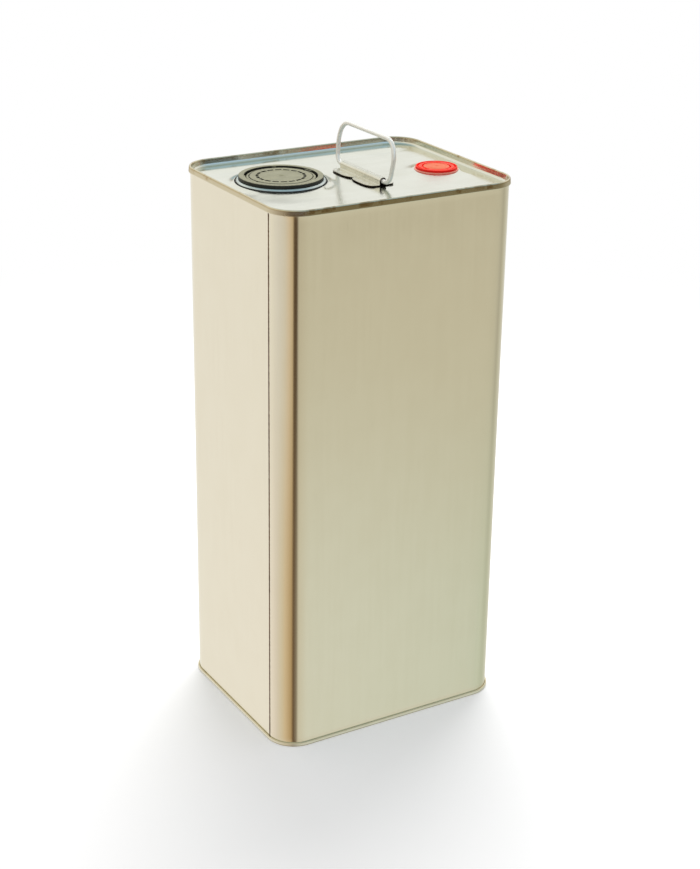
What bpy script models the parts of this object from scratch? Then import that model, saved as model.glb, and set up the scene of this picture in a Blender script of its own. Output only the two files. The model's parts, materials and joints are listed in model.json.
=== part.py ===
# Rectangular tinplate can with a pull-up pouring spout, a push-in vent plug and a wire handle.
# Lengths are in metres, +Z is up, and the origin is on the ground under the can's middle.
# The wide sides face -Y and +Y, and the spout stands at the -X end of the lid.

from math import asin, atan2, cos, pi, radians, sin, tan, tau

import bmesh
import bpy
from mathutils import Vector

# Can body
can_width = 0.1865
can_depth = 0.1517
can_height = 0.396
corner_radius = 0.0216
corner_steps = 6
sheet = 0.0003
panel_recess = 0.0052
panel_bend_radius = 0.0011
panel_rim_width = 0.0022

# Double seams: five sheet layers, counted from the outside inwards and from the rim downwards
seam_height = 0.0034
seam_gap = 0.0001
seam_roll_radius = 0.0005
seam_chamfer_share = 0.6
hook_overlap_gap = 0.0001
skirt_layer = 0
wall_hook_layer = 1
end_hook_layer = 2
wall_layer = 3
chuck_layer = 4
bend_steps = 2
hook_steps = 1

# Welded side seam, on the first facet of the corner at -X and -Y
weld_width = 0.0011
weld_proud = 0.00012

# Places on the lid
spout_side_margin = 0.0146
spout_offset_y = 0.01005
spout_turn = radians(16)
vent_side_margin = 0.01195
vent_offset_y = -0.0095
vent_turn = radians(12)
handle_offset_y = -0.0030
handle_free_share = 0.3272
handle_lean = radians(7)

# Clearances, and the distance under which a mesh's points are one
running_gap = 0.0003
stack_gap = 0.00015
merge_distance = 0.00001

# Neck of the spout, drawn up out of the lid
neck_bore = 0.0265
neck_flange_width = 0.0016
spout_steps = 36

# Crimp ring
crimp_sheet = 0.0004
crimp_hook_width = 0.0025
crimp_shoulder_out = 0.0015
crimp_shoulder_rise = 0.0010
crimp_lip_width = 0.0016

# Gasket and collar
gasket_thickness = 0.0005
collar_flange_overhang = 0.0002
collar_flange_thickness = 0.0005
collar_plate_thickness = 0.00165
collar_plate_overhang = 0.0005
collar_edge = 0.0003
collar_wall = 0.0010
collar_skirt_depth = 0.0020
lug_reach = 0.0009
lug_drop = 0.0002
wide_lug_angle = radians(14)
narrow_lug_angle = radians(7)
lug_angles = (0, radians(180), radians(55), radians(230))
lug_steps = 3

# Cap, bails and sleeve
channel_width = 0.0012
shelf_thickness = 0.0010
bail_inset = 0.0002
bail_width = 0.0018
bail_thickness = 0.0014
bail_shelf_gap = 0.0004
bail_groove = 0.0004
bail_hinge_offset = 0.0012
bail_end_past_hinge = 0.0005
bail_steps = 16
bail_pin_radius = 0.0004
bail_pin_length = 0.0009
bail_pin_gap = 0.00015
bail_pin_root = 0.0006
bail_pin_sides = 8
cap_above_plate = 0.0001
cap_top_thickness = 0.0011
cap_wall = 0.0008
cap_skirt_wall = 0.0013
cap_skirt_depth = 0.0080
cap_edge = 0.0002
dash_count = 18
dash_fill_share = 0.65
dash_radius = 0.0170
dash_width = 0.0016
dash_depth = 0.0005
dash_steps = 2
liner_thickness = 0.0005
liner_side_gap = 0.0006
thread_height = 0.0007
thread_pitch = 0.0030
thread_base = 0.0016
thread_crest = 0.0007
thread_root = 0.0004
thread_turns = 1.5
thread_below_top = 0.0022
sleeve_wall = 0.0015
sleeve_depth = 0.0200
sleeve_foot_width = 0.0025
sleeve_foot_thickness = 0.0010
web_thickness = 0.0008
web_rise = 0.0006

# Vent closure
vent_bore = 0.0115
vent_neck_drop = 0.0020
vent_steps = 28
seat_wall = 0.0014
seat_flange_width = 0.0040
seat_flange_thickness = 0.0010
seat_edge = 0.0003
seat_catch_width = 0.0009
seat_catch_height = 0.0007
seat_tail = 0.0010
vent_liner_thickness = 0.0003
vent_liner_margin = 0.0006
plug_radius = 0.0144
plug_floor = 0.0008
plug_rim_wall = 0.0010
plug_rim_height = 0.0015
plug_edge = 0.0003
plug_boss_radius = 0.0092
plug_boss_height = 0.0013
plug_stem_wall = 0.0009
plug_stem_short = 0.0005
plug_roof_drop = 0.0002
pull_ring_inner = 0.0102
pull_ring_width = 0.0024
pull_ring_thickness = 0.0009
pull_ring_floor_gap = 0.0004
pull_ring_hinge_inset = 0.0005
pull_tab_reach = 0.0004
pull_tab_angle = radians(34)

# Handle: a bent wire in the ridge of a welded plate
wire_radius = 0.00155
wire_panel_gap = 0.00185
wire_end_gap = 0.0010
wire_fit_gap = 0.0005
loop_height = 0.0290
loop_foot_half = 0.0350
loop_waist_half = 0.0367
loop_waist_height = 0.0170
loop_top_half = 0.0329
loop_foot_radius = 0.0065
loop_waist_radius = 0.0200
loop_top_radius = 0.0107
loop_steps = 6
plate_sheet = 0.0005
plate_half_length = 0.0266
plate_lobe_half_width = 0.0114
plate_notch_half_width = 0.0060
plate_lobe_power = 2.6
plate_rows = 20
plate_foot_radius = 0.0006
ridge_steps = 6

# Worked-out sizes of the can
layer_pitch = sheet + seam_gap
panel_top = can_height - panel_recess
wall_inset = sheet / 2 + wall_layer * layer_pitch
chuck_inset = sheet / 2 + chuck_layer * layer_pitch

# Worked-out heights of the spout's stack, above the lid's panel
hook_bottom = running_gap
hook_top = hook_bottom + crimp_sheet
neck_flange_bottom = hook_top + stack_gap
neck_top = neck_flange_bottom + sheet
gasket_bottom = neck_top + stack_gap
gasket_top = gasket_bottom + gasket_thickness
collar_flange_bottom = gasket_top + stack_gap
collar_flange_top = collar_flange_bottom + collar_flange_thickness
lip_bottom = collar_flange_top + stack_gap
lip_top = lip_bottom + crimp_sheet
plate_bottom = lip_top + stack_gap
collar_top = plate_bottom + collar_plate_thickness
cap_top = collar_top + cap_above_plate
cap_under = cap_top - cap_top_thickness
bail_bottom = cap_top - bail_thickness
bail_pin_height = cap_top - bail_thickness / 2
shelf_top = bail_bottom - bail_shelf_gap
shelf_bottom = shelf_top - shelf_thickness
liner_top = cap_under - running_gap
liner_bottom = liner_top - liner_thickness
sleeve_top = liner_bottom - running_gap

# Worked-out radii of the spout
neck_outer = neck_bore + sheet
neck_flange_radius = neck_outer + neck_flange_width
collar_flange_radius = neck_flange_radius + collar_flange_overhang
collar_plate_radius = collar_flange_radius + collar_plate_overhang
collar_skirt_outer = neck_bore - running_gap
collar_inner = collar_skirt_outer - collar_wall
hook_tip_radius = neck_outer + running_gap
crimp_hook_radius = hook_tip_radius + crimp_hook_width
crimp_shoulder_radius = crimp_hook_radius + crimp_shoulder_out
crimp_outer_radius = crimp_shoulder_radius + crimp_sheet / 2
lip_tip_radius = crimp_hook_radius - crimp_lip_width
shelf_radius = collar_inner - channel_width
bail_outer = shelf_radius - bail_inset
bail_inner = bail_outer - bail_width
disc_radius = bail_inner - bail_groove
cap_bore = disc_radius - cap_wall
cap_skirt_outer = cap_bore + cap_skirt_wall
thread_radius = cap_bore - running_gap
sleeve_outer = thread_radius - thread_height
sleeve_bore = sleeve_outer - sleeve_wall
sleeve_foot_radius = sleeve_outer + sleeve_foot_width

# Worked-out sizes of the vent closure, heights above the lid's panel
seat_stem_radius = vent_bore - running_gap
seat_bore = seat_stem_radius - seat_wall
seat_flange_radius = vent_bore + seat_flange_width
seat_top = running_gap + seat_flange_thickness
seat_catch_top = -vent_neck_drop - running_gap
seat_catch_bottom = seat_catch_top - seat_catch_height
seat_bottom = seat_catch_bottom - seat_tail
vent_liner_bottom = seat_top + running_gap
vent_liner_top = vent_liner_bottom + vent_liner_thickness
plug_bottom = vent_liner_top + running_gap
plug_floor_top = plug_bottom + plug_floor
plug_rim_top = plug_floor_top + plug_rim_height
plug_boss_top = plug_floor_top + plug_boss_height
plug_roof = plug_bottom - plug_roof_drop
plug_stem_radius = seat_bore - running_gap
plug_stem_bottom = seat_bottom + plug_stem_short
plug_rim_inner = plug_radius - plug_rim_wall
pull_ring_bottom = plug_floor_top + pull_ring_floor_gap
pull_ring_outer = pull_ring_inner + pull_ring_width

# Worked-out places on the lid
spout_x = -(can_width / 2 - spout_side_margin - crimp_outer_radius)
vent_x = can_width / 2 - vent_side_margin - seat_flange_radius
free_gap = vent_x - seat_flange_radius - spout_x - crimp_outer_radius
free_side = (free_gap - 2 * plate_lobe_half_width) * handle_free_share
handle_x = spout_x + crimp_outer_radius + free_side + plate_lobe_half_width
axis_rise = wire_radius + wire_panel_gap


def clear_scene():
    for thing in list(bpy.data.objects):
        bpy.data.objects.remove(thing, do_unlink=True)


def paint(name, colour, roughness, metallic):
    material = bpy.data.materials.new(name)
    material.use_nodes = True
    shader = material.node_tree.nodes["Principled BSDF"]
    shader.inputs["Base Color"].default_value = (*colour, 1.0)
    shader.inputs["Roughness"].default_value = roughness
    shader.inputs["Metallic"].default_value = metallic
    material.diffuse_color = (*colour, 1.0)
    return material


def place(name, location, turn_z=0.0, parent=None):
    empty = bpy.data.objects.new(name, None)
    empty.empty_display_size = corner_radius / 2
    bpy.context.collection.objects.link(empty)
    empty.parent = parent
    empty.location = location
    empty.rotation_euler = (0, 0, turn_z)
    return empty


def piece(name, bm, material, parent=None, smooth_angle=radians(32)):
    bmesh.ops.recalc_face_normals(bm, faces=bm.faces)
    mesh = bpy.data.meshes.new(name)
    bm.to_mesh(mesh)
    bm.free()
    if material:
        mesh.materials.append(material)
    mesh.shade_smooth()
    mesh.set_sharp_from_angle(angle=smooth_angle)
    thing = bpy.data.objects.new(name, mesh)
    bpy.context.collection.objects.link(thing)
    thing.parent = parent
    return thing


def combine(target, tool, operation):
    tool.hide_render = True
    tool.display_type = "WIRE"
    modifier = target.modifiers.new(tool.name, "BOOLEAN")
    modifier.operation = operation
    modifier.solver = "EXACT"
    modifier.object = tool


# Outlines

def filleted(corners, steps_per_right_angle):
    """Round each inner corner (x, y, radius) of an open path."""
    path = [Vector(corners[0][:2])]
    for before, corner, after in zip(corners, corners[1:], corners[2:]):
        point = Vector(corner[:2])
        radius = corner[2]
        come = (point - Vector(before[:2])).normalized()
        go = (Vector(after[:2]) - point).normalized()
        turn = come.angle_signed(go)
        if radius == 0:
            path.append(point)
            continue
        start = point - come * radius * tan(abs(turn) / 2)
        inward = (go - come).normalized()
        centre = point + inward * radius / cos(turn / 2)
        steps = max(1, round(steps_per_right_angle * abs(turn) / (pi / 2)))
        first = atan2(start.y - centre.y, start.x - centre.x)
        for step in range(steps + 1):
            angle = first - turn * step / steps
            path.append(centre + radius * Vector((cos(angle), sin(angle))))
    path.append(Vector(corners[-1][:2]))
    return path


def strip(path, thickness):
    """The closed outline of a bent sheet, from its middle line."""
    sides = ([], [])
    last = len(path) - 1
    for index, point in enumerate(path):
        come = (point - path[index - 1]).normalized() if index else None
        go = (path[index + 1] - point).normalized() if index < last else None
        come = come or go
        go = go or come
        middle = (come + go).normalized()
        reach = thickness / 2 / middle.dot(go)
        side = Vector((-middle.y, middle.x)) * reach
        sides[0].append(point + side)
        sides[1].append(point - side)
    return sides[0] + sides[1][::-1]


# Mesh building

def ring(bm, points):
    return [bm.verts.new(point) for point in points]


def join_rings(bm, rings, closed):
    pairs = list(zip(rings, rings[1:]))
    if closed:
        pairs.append((rings[-1], rings[0]))
    for one, other in pairs:
        count = len(one)
        for index in range(count):
            following = (index + 1) % count
            bm.faces.new((one[index], one[following], other[following], other[index]))


def fill(bm, loops):
    """Flat sheet between an outer loop and the loops of its holes."""
    edges = []
    for loop in loops:
        for index, vert in enumerate(loop):
            edges.append(bm.edges.get((vert, loop[(index + 1) % len(loop)])))
    bmesh.ops.triangle_fill(bm, use_beauty=True, edges=edges)


def rectangle(inset, height):
    """The can's rounded outline, drawn in by inset."""
    radius = corner_radius - inset
    half_x = can_width / 2 - corner_radius
    half_y = can_depth / 2 - corner_radius
    points = []
    for quarter, (side_x, side_y) in enumerate(((1, 1), (-1, 1), (-1, -1), (1, -1))):
        for step in range(corner_steps + 1):
            angle = (quarter + step / corner_steps) * pi / 2
            x = side_x * half_x + radius * cos(angle)
            y = side_y * half_y + radius * sin(angle)
            points.append((x, y, height))
    return points


def circle(centre_x, centre_y, radius, height, steps):
    angles = [tau * step / steps for step in range(steps)]
    return [(centre_x + radius * cos(a), centre_y + radius * sin(a), height) for a in angles]


def turned(outline, steps, closed=True):
    """Spin an outline of (radius, height) points round the Z axis."""
    bm = bmesh.new()
    verts = [bm.verts.new((radius, 0, height)) for radius, height in outline]
    pairs = list(zip(verts, verts[1:]))
    if closed:
        pairs.append((verts[-1], verts[0]))
    edges = [bm.edges.new(pair) for pair in pairs]
    bmesh.ops.spin(
        bm, geom=verts + edges, cent=(0, 0, 0), axis=(0, 0, 1),
        angle=tau, steps=steps, use_merge=True,
    )
    bmesh.ops.remove_doubles(bm, verts=bm.verts, dist=merge_distance)
    return bm


def add_sector(bm, inner, outer, low, high, middle_angle, spread, steps):
    """A curved block, part of a ring."""
    rings = []
    for step in range(steps + 1):
        angle = middle_angle + spread * (step / steps - 1 / 2)
        section = ((inner, low), (outer, low), (outer, high), (inner, high))
        rings.append(ring(bm, [(r * cos(angle), r * sin(angle), z) for r, z in section]))
    join_rings(bm, rings, closed=False)
    bm.faces.new(rings[0])
    bm.faces.new(rings[-1])


def add_rod(bm, start, end, radius, sides):
    """A straight round pin between two points."""
    along = end - start
    turn = along.to_track_quat("Z", "Y")
    rings = []
    for point in (start, end):
        circle_points = circle(0, 0, radius, 0, sides)
        rings.append(ring(bm, [point + turn @ Vector(p) for p in circle_points]))
    join_rings(bm, rings, closed=False)
    bm.faces.new(rings[0])
    bm.faces.new(rings[-1])


# Can: ends, wall and seams

def seam_layer(number):
    """How far the middle of a seam's layer lies in from the seam's face."""
    return sheet / 2 + number * layer_pitch


def end_section():
    """Middle line of an end's sheet, as (inset, depth below the rim), panel first."""
    panel_depth = panel_recess + sheet / 2
    hook_tip = seam_layer(end_hook_layer) + sheet / 2 + hook_overlap_gap
    half_fold = (seam_layer(end_hook_layer) - seam_layer(skirt_layer)) * seam_chamfer_share / 2
    foot = seam_height - sheet / 2
    corners = (
        (chuck_inset + panel_rim_width, panel_depth, 0),
        (chuck_inset, panel_depth, panel_bend_radius),
        (chuck_inset, sheet / 2, seam_roll_radius),
        (seam_layer(skirt_layer), sheet / 2, seam_roll_radius),
        (seam_layer(skirt_layer), foot, half_fold),
        (seam_layer(end_hook_layer), foot, half_fold),
        (seam_layer(end_hook_layer), hook_tip, 0),
    )
    return filleted(corners, bend_steps)


def sheet_end(name, level, necks, material):
    """One end: seam section swept round the can, with a panel that may have necks."""
    bm = bmesh.new()
    outline = strip(end_section(), sheet)
    rings = [ring(bm, rectangle(inset, level(depth))) for inset, depth in outline]
    join_rings(bm, rings, closed=False)
    faces = {0: [rings[0]], 1: [rings[-1]]}
    for centre_x, centre_y, profile, steps in necks:
        loops = [ring(bm, circle(centre_x, centre_y, r, z, steps)) for r, z in profile]
        join_rings(bm, loops, closed=False)
        for side, loop in ((0, loops[0]), (1, loops[-1])):
            same = abs(loop[0].co.z - rings[0][0].co.z) < sheet / 2
            faces[0 if same else 1].append(loop)
    for loops in faces.values():
        fill(bm, loops)
    return piece(name, bm, material)


def body_wall(material):
    """The folded wall with both hooks and the welded side seam."""
    hook_tip = seam_height - sheet - seam_gap
    fold = seam_layer(end_hook_layer)
    fold_radius = (wall_inset - seam_layer(wall_hook_layer)) * seam_chamfer_share / 2
    top_corners = (
        (seam_layer(wall_hook_layer), can_height - hook_tip, 0),
        (seam_layer(wall_hook_layer), can_height - fold, fold_radius),
        (wall_inset, can_height - fold, fold_radius),
    )
    bottom_corners = (
        (wall_inset, fold, fold_radius),
        (seam_layer(wall_hook_layer), fold, fold_radius),
        (seam_layer(wall_hook_layer), hook_tip, 0),
    )
    path = filleted(top_corners + bottom_corners, hook_steps)
    bm = bmesh.new()
    rings = [ring(bm, rectangle(inset, height)) for inset, height in strip(path, sheet)]
    join_rings(bm, rings, closed=True)
    wall = piece("body_wall", bm, material)

    low = seam_height + seam_gap
    high = can_height - seam_height - seam_gap
    facet = pi / 2 / corner_steps
    outward = Vector((cos(pi + facet / 2), sin(pi + facet / 2), 0))
    along = Vector((-outward.y, outward.x, 0))
    corner = Vector((-(can_width / 2 - corner_radius), -(can_depth / 2 - corner_radius), 0))
    face = (corner_radius - wall_inset + sheet / 2) * cos(facet / 2)
    bm = bmesh.new()
    rings = []
    for height in (low, high):
        points = []
        for out, side in ((face - sheet / 2, -1), (face + weld_proud, -1),
                          (face + weld_proud, 1), (face - sheet / 2, 1)):
            point = corner + outward * out + along * side * weld_width / 2
            points.append((point.x, point.y, height))
        rings.append(ring(bm, points))
    join_rings(bm, rings, closed=False)
    bm.faces.new(rings[0])
    bm.faces.new(rings[1])
    combine(wall, piece("side_weld_tool", bm, None), "UNION")
    return wall


def seam_compound(name, level, material):
    """Sealing compound between an end's top layer and the wall's fold."""
    middle = seam_layer(wall_hook_layer)
    round_radius = seam_roll_radius - sheet / 2 - seam_gap
    half = sheet / 2
    corners = (
        (seam_layer(wall_hook_layer) - half, middle + half, 0),
        (seam_layer(wall_hook_layer) - half, middle - half, round_radius),
        (wall_inset + half, middle - half, round_radius),
        (wall_inset + half, middle + half, 0),
    )
    bm = bmesh.new()
    outline = filleted(corners, hook_steps)
    rings = [ring(bm, rectangle(inset, level(depth))) for inset, depth in outline]
    join_rings(bm, rings, closed=True)
    return piece(name, bm, material)


def lid_necks():
    """Where the lid's sheet turns up for the spout and down for the vent."""
    flange_bottom = panel_top + neck_flange_bottom
    flange_top = panel_top + neck_top
    under = panel_top - sheet
    drop = panel_top - vent_neck_drop
    spout_profile = (
        (neck_outer, panel_top),
        (neck_outer, flange_bottom),
        (neck_flange_radius, flange_bottom),
        (neck_flange_radius, flange_top),
        (neck_bore, flange_top),
        (neck_bore, under),
    )
    vent_profile = (
        (vent_bore, panel_top),
        (vent_bore, drop),
        (vent_bore + sheet, drop),
        (vent_bore + sheet, under),
    )
    return (
        (spout_x, spout_offset_y, spout_profile, spout_steps),
        (vent_x, vent_offset_y, vent_profile, vent_steps),
    )


# Pouring spout, in its own place with the panel at height 0

def spout_crimp_ring(material, parent):
    half = crimp_sheet / 2
    path = [
        Vector((hook_tip_radius, hook_bottom + half)),
        Vector((crimp_hook_radius, hook_bottom + half)),
        Vector((crimp_shoulder_radius, hook_bottom + half + crimp_shoulder_rise)),
        Vector((crimp_hook_radius, lip_bottom + half)),
        Vector((lip_tip_radius, lip_bottom + half)),
    ]
    bm = turned(strip(path, crimp_sheet), spout_steps)
    return piece("spout_crimp_ring", bm, material, parent)


def spout_gasket(material, parent):
    outline = (
        (neck_bore, gasket_bottom),
        (collar_flange_radius, gasket_bottom),
        (collar_flange_radius, gasket_top),
        (neck_bore, gasket_top),
    )
    return piece("spout_gasket", turned(outline, spout_steps), material, parent)


def spout_collar(material, parent):
    groove_radius = lip_tip_radius - running_gap
    outline = (
        (collar_inner, -collar_skirt_depth),
        (collar_skirt_outer, -collar_skirt_depth),
        (collar_skirt_outer, collar_flange_bottom),
        (collar_flange_radius, collar_flange_bottom),
        (collar_flange_radius, collar_flange_top),
        (groove_radius, collar_flange_top),
        (groove_radius, plate_bottom),
        (collar_plate_radius, plate_bottom),
        (collar_plate_radius, collar_top - collar_edge),
        (collar_plate_radius - collar_edge, collar_top),
        (collar_inner + collar_edge, collar_top),
        (collar_inner, collar_top - collar_edge),
    )
    collar = piece("spout_collar", turned(outline, spout_steps), material, parent)
    bm = bmesh.new()
    for number, angle in enumerate(lug_angles):
        spread = wide_lug_angle if number < 2 else narrow_lug_angle
        add_sector(
            bm, collar_inner - lug_reach, collar_inner + collar_wall / 2,
            bail_bottom, collar_top - collar_edge - lug_drop, angle, spread, lug_steps,
        )
    combine(collar, piece("collar_lug_tool", bm, None, parent), "UNION")
    return collar


def spout_web(material, parent):
    """The folded web that turns inside out when the spout is pulled up."""
    start = Vector((collar_inner + collar_wall / 2, -collar_skirt_depth - running_gap - sheet / 2))
    end_height = -sleeve_depth + web_rise
    end = Vector((sleeve_foot_radius + web_thickness / 2 + running_gap, end_height))
    outline = strip([start, start.lerp(end, 1 / 2), end], web_thickness)
    return piece("spout_web", turned(outline, spout_steps), material, parent)


def spout_sleeve(material, parent):
    outline = (
        (sleeve_bore, -sleeve_depth),
        (sleeve_foot_radius, -sleeve_depth),
        (sleeve_foot_radius, -sleeve_depth + sleeve_foot_thickness),
        (sleeve_outer, -sleeve_depth + sleeve_foot_thickness),
        (sleeve_outer, sleeve_top),
        (sleeve_bore, sleeve_top),
    )
    shape = turned(outline, spout_steps)
    sleeve = piece("spout_sleeve", shape, material, parent, smooth_angle=0)
    bm = bmesh.new()
    section = (
        (sleeve_outer - thread_root, -thread_base / 2),
        (thread_radius, -thread_crest / 2),
        (thread_radius, thread_crest / 2),
        (sleeve_outer - thread_root, thread_base / 2),
    )
    steps = round(spout_steps * thread_turns)
    rings = []
    for step in range(steps + 1):
        turns = thread_turns * step / steps
        angle = tau * (turns + 1 / 2 / spout_steps)
        middle = sleeve_top - thread_below_top - thread_pitch * turns
        points = [(r * cos(angle), r * sin(angle), middle + z) for r, z in section]
        rings.append(ring(bm, points))
    join_rings(bm, rings, closed=False)
    bm.faces.new(rings[0])
    bm.faces.new(rings[-1])
    combine(sleeve, piece("sleeve_thread_tool", bm, None, parent), "UNION")
    return sleeve


def bail_pin_ends(side, root, length):
    """Both pins of one bail lie on one line across the cap."""
    at_y = side * bail_hinge_offset
    outer_x = (bail_inner ** 2 - bail_hinge_offset ** 2) ** 0.5
    for end in (-1, 1):
        start = Vector((end * (outer_x + root), at_y, bail_pin_height))
        stop = Vector((end * (outer_x - length), at_y, bail_pin_height))
        yield start, stop


def spout_cap(material, parent):
    outline = (
        (0, cap_top),
        (disc_radius - cap_edge, cap_top),
        (disc_radius, cap_top - cap_edge),
        (disc_radius, shelf_top),
        (shelf_radius, shelf_top),
        (shelf_radius, shelf_bottom),
        (cap_skirt_outer, shelf_bottom),
        (cap_skirt_outer, -cap_skirt_depth),
        (cap_bore, -cap_skirt_depth),
        (cap_bore, cap_under),
        (0, cap_under),
    )
    shape = turned(outline, spout_steps, closed=False)
    cap = piece("spout_cap", shape, material, parent, smooth_angle=0)

    bm = bmesh.new()
    for number in range(dash_count):
        angle = tau * (number + 1 / 2) / dash_count
        add_sector(
            bm, dash_radius - dash_width / 2, dash_radius + dash_width / 2,
            cap_top - dash_depth, cap_top + dash_depth, angle,
            tau / dash_count * dash_fill_share, dash_steps,
        )
    combine(cap, piece("cap_dash_tool", bm, None, parent), "DIFFERENCE")

    bm = bmesh.new()
    for side in (-1, 1):
        for start, stop in bail_pin_ends(side, 0, bail_pin_length + bail_pin_gap):
            add_rod(bm, start, stop, bail_pin_radius + bail_pin_gap, bail_pin_sides)
    combine(cap, piece("cap_pin_hole_tool", bm, None, parent), "DIFFERENCE")
    return cap


def cap_liner(material, parent):
    radius = cap_bore - liner_side_gap
    outline = ((0, liner_top), (radius, liner_top), (radius, liner_bottom), (0, liner_bottom))
    return piece("cap_liner", turned(outline, spout_steps, closed=False), material, parent)


def bail(name, side, material, parent):
    """Half-ring pull, hinged on two pins in the cap's edge."""
    origin = place(name + "_hinge", (0, side * bail_hinge_offset, bail_pin_height), 0, parent)
    middle = (bail_inner + bail_outer) / 2
    end_offset = bail_hinge_offset - bail_end_past_hinge
    bm = bmesh.new()
    half = bail_thickness / 2
    rings = []
    for step in range(bail_steps + 1):
        points = []
        for radius, height in (
            (bail_inner, -half), (bail_outer, -half), (bail_outer, half), (bail_inner, half)
        ):
            first = asin(end_offset / radius)
            angle = first + (pi - 2 * first) * step / bail_steps
            y = side * (radius * sin(angle) - bail_hinge_offset)
            points.append((radius * cos(angle), y, height))
        rings.append(ring(bm, points))
    join_rings(bm, rings, closed=False)
    bm.faces.new(rings[0])
    bm.faces.new(rings[-1])
    half_ring = piece(name, bm, material, origin)

    bm = bmesh.new()
    shift = Vector((0, side * bail_hinge_offset, bail_pin_height))
    for start, stop in bail_pin_ends(side, bail_pin_root, bail_pin_length):
        add_rod(bm, start - shift, stop - shift, bail_pin_radius, bail_pin_sides)
    combine(half_ring, piece(name + "_pin_tool", bm, None, origin), "UNION")
    return half_ring


# Vent closure, in its own place with the panel at height 0

def vent_seat(material, parent):
    outline = (
        (seat_bore, seat_bottom),
        (seat_stem_radius - seat_edge, seat_bottom),
        (seat_stem_radius + seat_catch_width, seat_catch_bottom),
        (seat_stem_radius + seat_catch_width, seat_catch_top),
        (seat_stem_radius, seat_catch_top),
        (seat_stem_radius, running_gap),
        (seat_flange_radius, running_gap),
        (seat_flange_radius, seat_top - seat_edge),
        (seat_flange_radius - seat_edge, seat_top),
        (seat_bore, seat_top),
    )
    return piece("vent_seat", turned(outline, vent_steps), material, parent)


def vent_plug(material, parent):
    outline = (
        (0, plug_boss_top),
        (plug_boss_radius - plug_edge, plug_boss_top),
        (plug_boss_radius, plug_boss_top - plug_edge),
        (plug_boss_radius, plug_floor_top),
        (plug_rim_inner, plug_floor_top),
        (plug_rim_inner, plug_rim_top),
        (plug_radius - plug_edge, plug_rim_top),
        (plug_radius, plug_rim_top - plug_edge),
        (plug_radius, plug_bottom),
        (plug_stem_radius, plug_bottom),
        (plug_stem_radius, plug_stem_bottom),
        (plug_stem_radius - plug_stem_wall, plug_stem_bottom),
        (plug_stem_radius - plug_stem_wall, plug_roof),
        (0, plug_roof),
    )
    return piece("vent_plug", turned(outline, vent_steps, closed=False), material, parent)


def vent_liner(material, parent):
    inner = plug_stem_radius + running_gap
    outer = plug_radius - vent_liner_margin
    outline = (
        (inner, vent_liner_bottom), (outer, vent_liner_bottom),
        (outer, vent_liner_top), (inner, vent_liner_top),
    )
    return piece("vent_liner", turned(outline, vent_steps), material, parent)


def vent_pull_ring(material, parent):
    """Ring pull lying in the plug's recess, hinged at its -X side."""
    half = pull_ring_thickness / 2
    hinge_radius = pull_ring_outer - pull_ring_hinge_inset
    origin = place("vent_pull_ring_hinge", (-hinge_radius, 0, pull_ring_bottom + half), 0, parent)
    outline = (
        (pull_ring_inner, -half), (pull_ring_outer, -half),
        (pull_ring_outer, half), (pull_ring_inner, half),
    )
    bm = turned(outline, vent_steps)
    bmesh.ops.translate(bm, verts=bm.verts, vec=(hinge_radius, 0, 0))
    pull_ring = piece("vent_pull_ring", bm, material, origin)
    bm = bmesh.new()
    add_sector(
        bm, pull_ring_inner - pull_tab_reach, pull_ring_inner + pull_ring_width / 2,
        -half + seam_gap, half - seam_gap, 0, pull_tab_angle, lug_steps,
    )
    bmesh.ops.translate(bm, verts=bm.verts, vec=(hinge_radius, 0, 0))
    combine(pull_ring, piece("pull_tab_tool", bm, None, origin), "UNION")
    return pull_ring


# Handle: the hinge place has its Y axis along the ridge

def lobe_half_width(along):
    """Half the plate's width: one rounded lobe on each side of the middle notch."""
    share = abs(along) / plate_half_length
    bulge = max(0.0, 1 - abs(2 * share - 1) ** plate_lobe_power) ** (1 / plate_lobe_power)
    return plate_notch_half_width + (plate_lobe_half_width - plate_notch_half_width) * bulge


def handle_plate(material, parent):
    ridge_radius = wire_radius + wire_fit_gap + plate_sheet / 2
    flange_height = running_gap + plate_sheet / 2 - axis_rise
    half_section = [(ridge_radius + plate_foot_radius, flange_height)]
    half_section.append((ridge_radius, flange_height + plate_foot_radius))
    bm = bmesh.new()
    rows = []
    for row in range(plate_rows + 1):
        along = plate_half_length * (2 * row / plate_rows - 1)
        width = lobe_half_width(along)
        half = [(width, flange_height)] + half_section
        arc = [
            (ridge_radius * cos(pi * step / ridge_steps), ridge_radius * sin(pi * step / ridge_steps))
            for step in range(ridge_steps + 1)
        ]
        section = half + arc + [(-x, z) for x, z in half[::-1]]
        rows.append(ring(bm, [(x, along, z) for x, z in section]))
    for one, other in zip(rows, rows[1:]):
        for index in range(len(one) - 1):
            bm.faces.new((one[index], one[index + 1], other[index + 1], other[index]))
    plate = piece("handle_plate", bm, material, parent)
    solid = plate.modifiers.new("sheet", "SOLIDIFY")
    solid.thickness = plate_sheet
    solid.offset = 0
    solid.use_even_offset = True
    return plate


def handle_wire(material, parent):
    """Round wire whose two ends butt inside the ridge; it leans a little at rest."""
    corners = (
        (wire_end_gap / 2, 0, 0),
        (loop_foot_half, 0, loop_foot_radius),
        (loop_waist_half, loop_waist_height, loop_waist_radius),
        (loop_top_half, loop_height, loop_top_radius),
        (0, loop_height, 0),
    )
    half = filleted(corners, loop_steps)
    path = [(0, -point.x, point.y) for point in half]
    path += [(0, point.x, point.y) for point in half[-2::-1]]
    curve = bpy.data.curves.new("handle_wire", "CURVE")
    curve.dimensions = "3D"
    spline = curve.splines.new("POLY")
    spline.points.add(len(path) - 1)
    for point, place_along in zip(spline.points, path):
        point.co = (*place_along, 1)
    spline.use_smooth = True
    curve.bevel_depth = wire_radius
    curve.bevel_resolution = 2
    curve.use_fill_caps = True
    curve.materials.append(material)
    wire = bpy.data.objects.new("handle_wire", curve)
    bpy.context.collection.objects.link(wire)
    wire.parent = parent
    wire.rotation_euler = (0, handle_lean, 0)
    return wire


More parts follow.
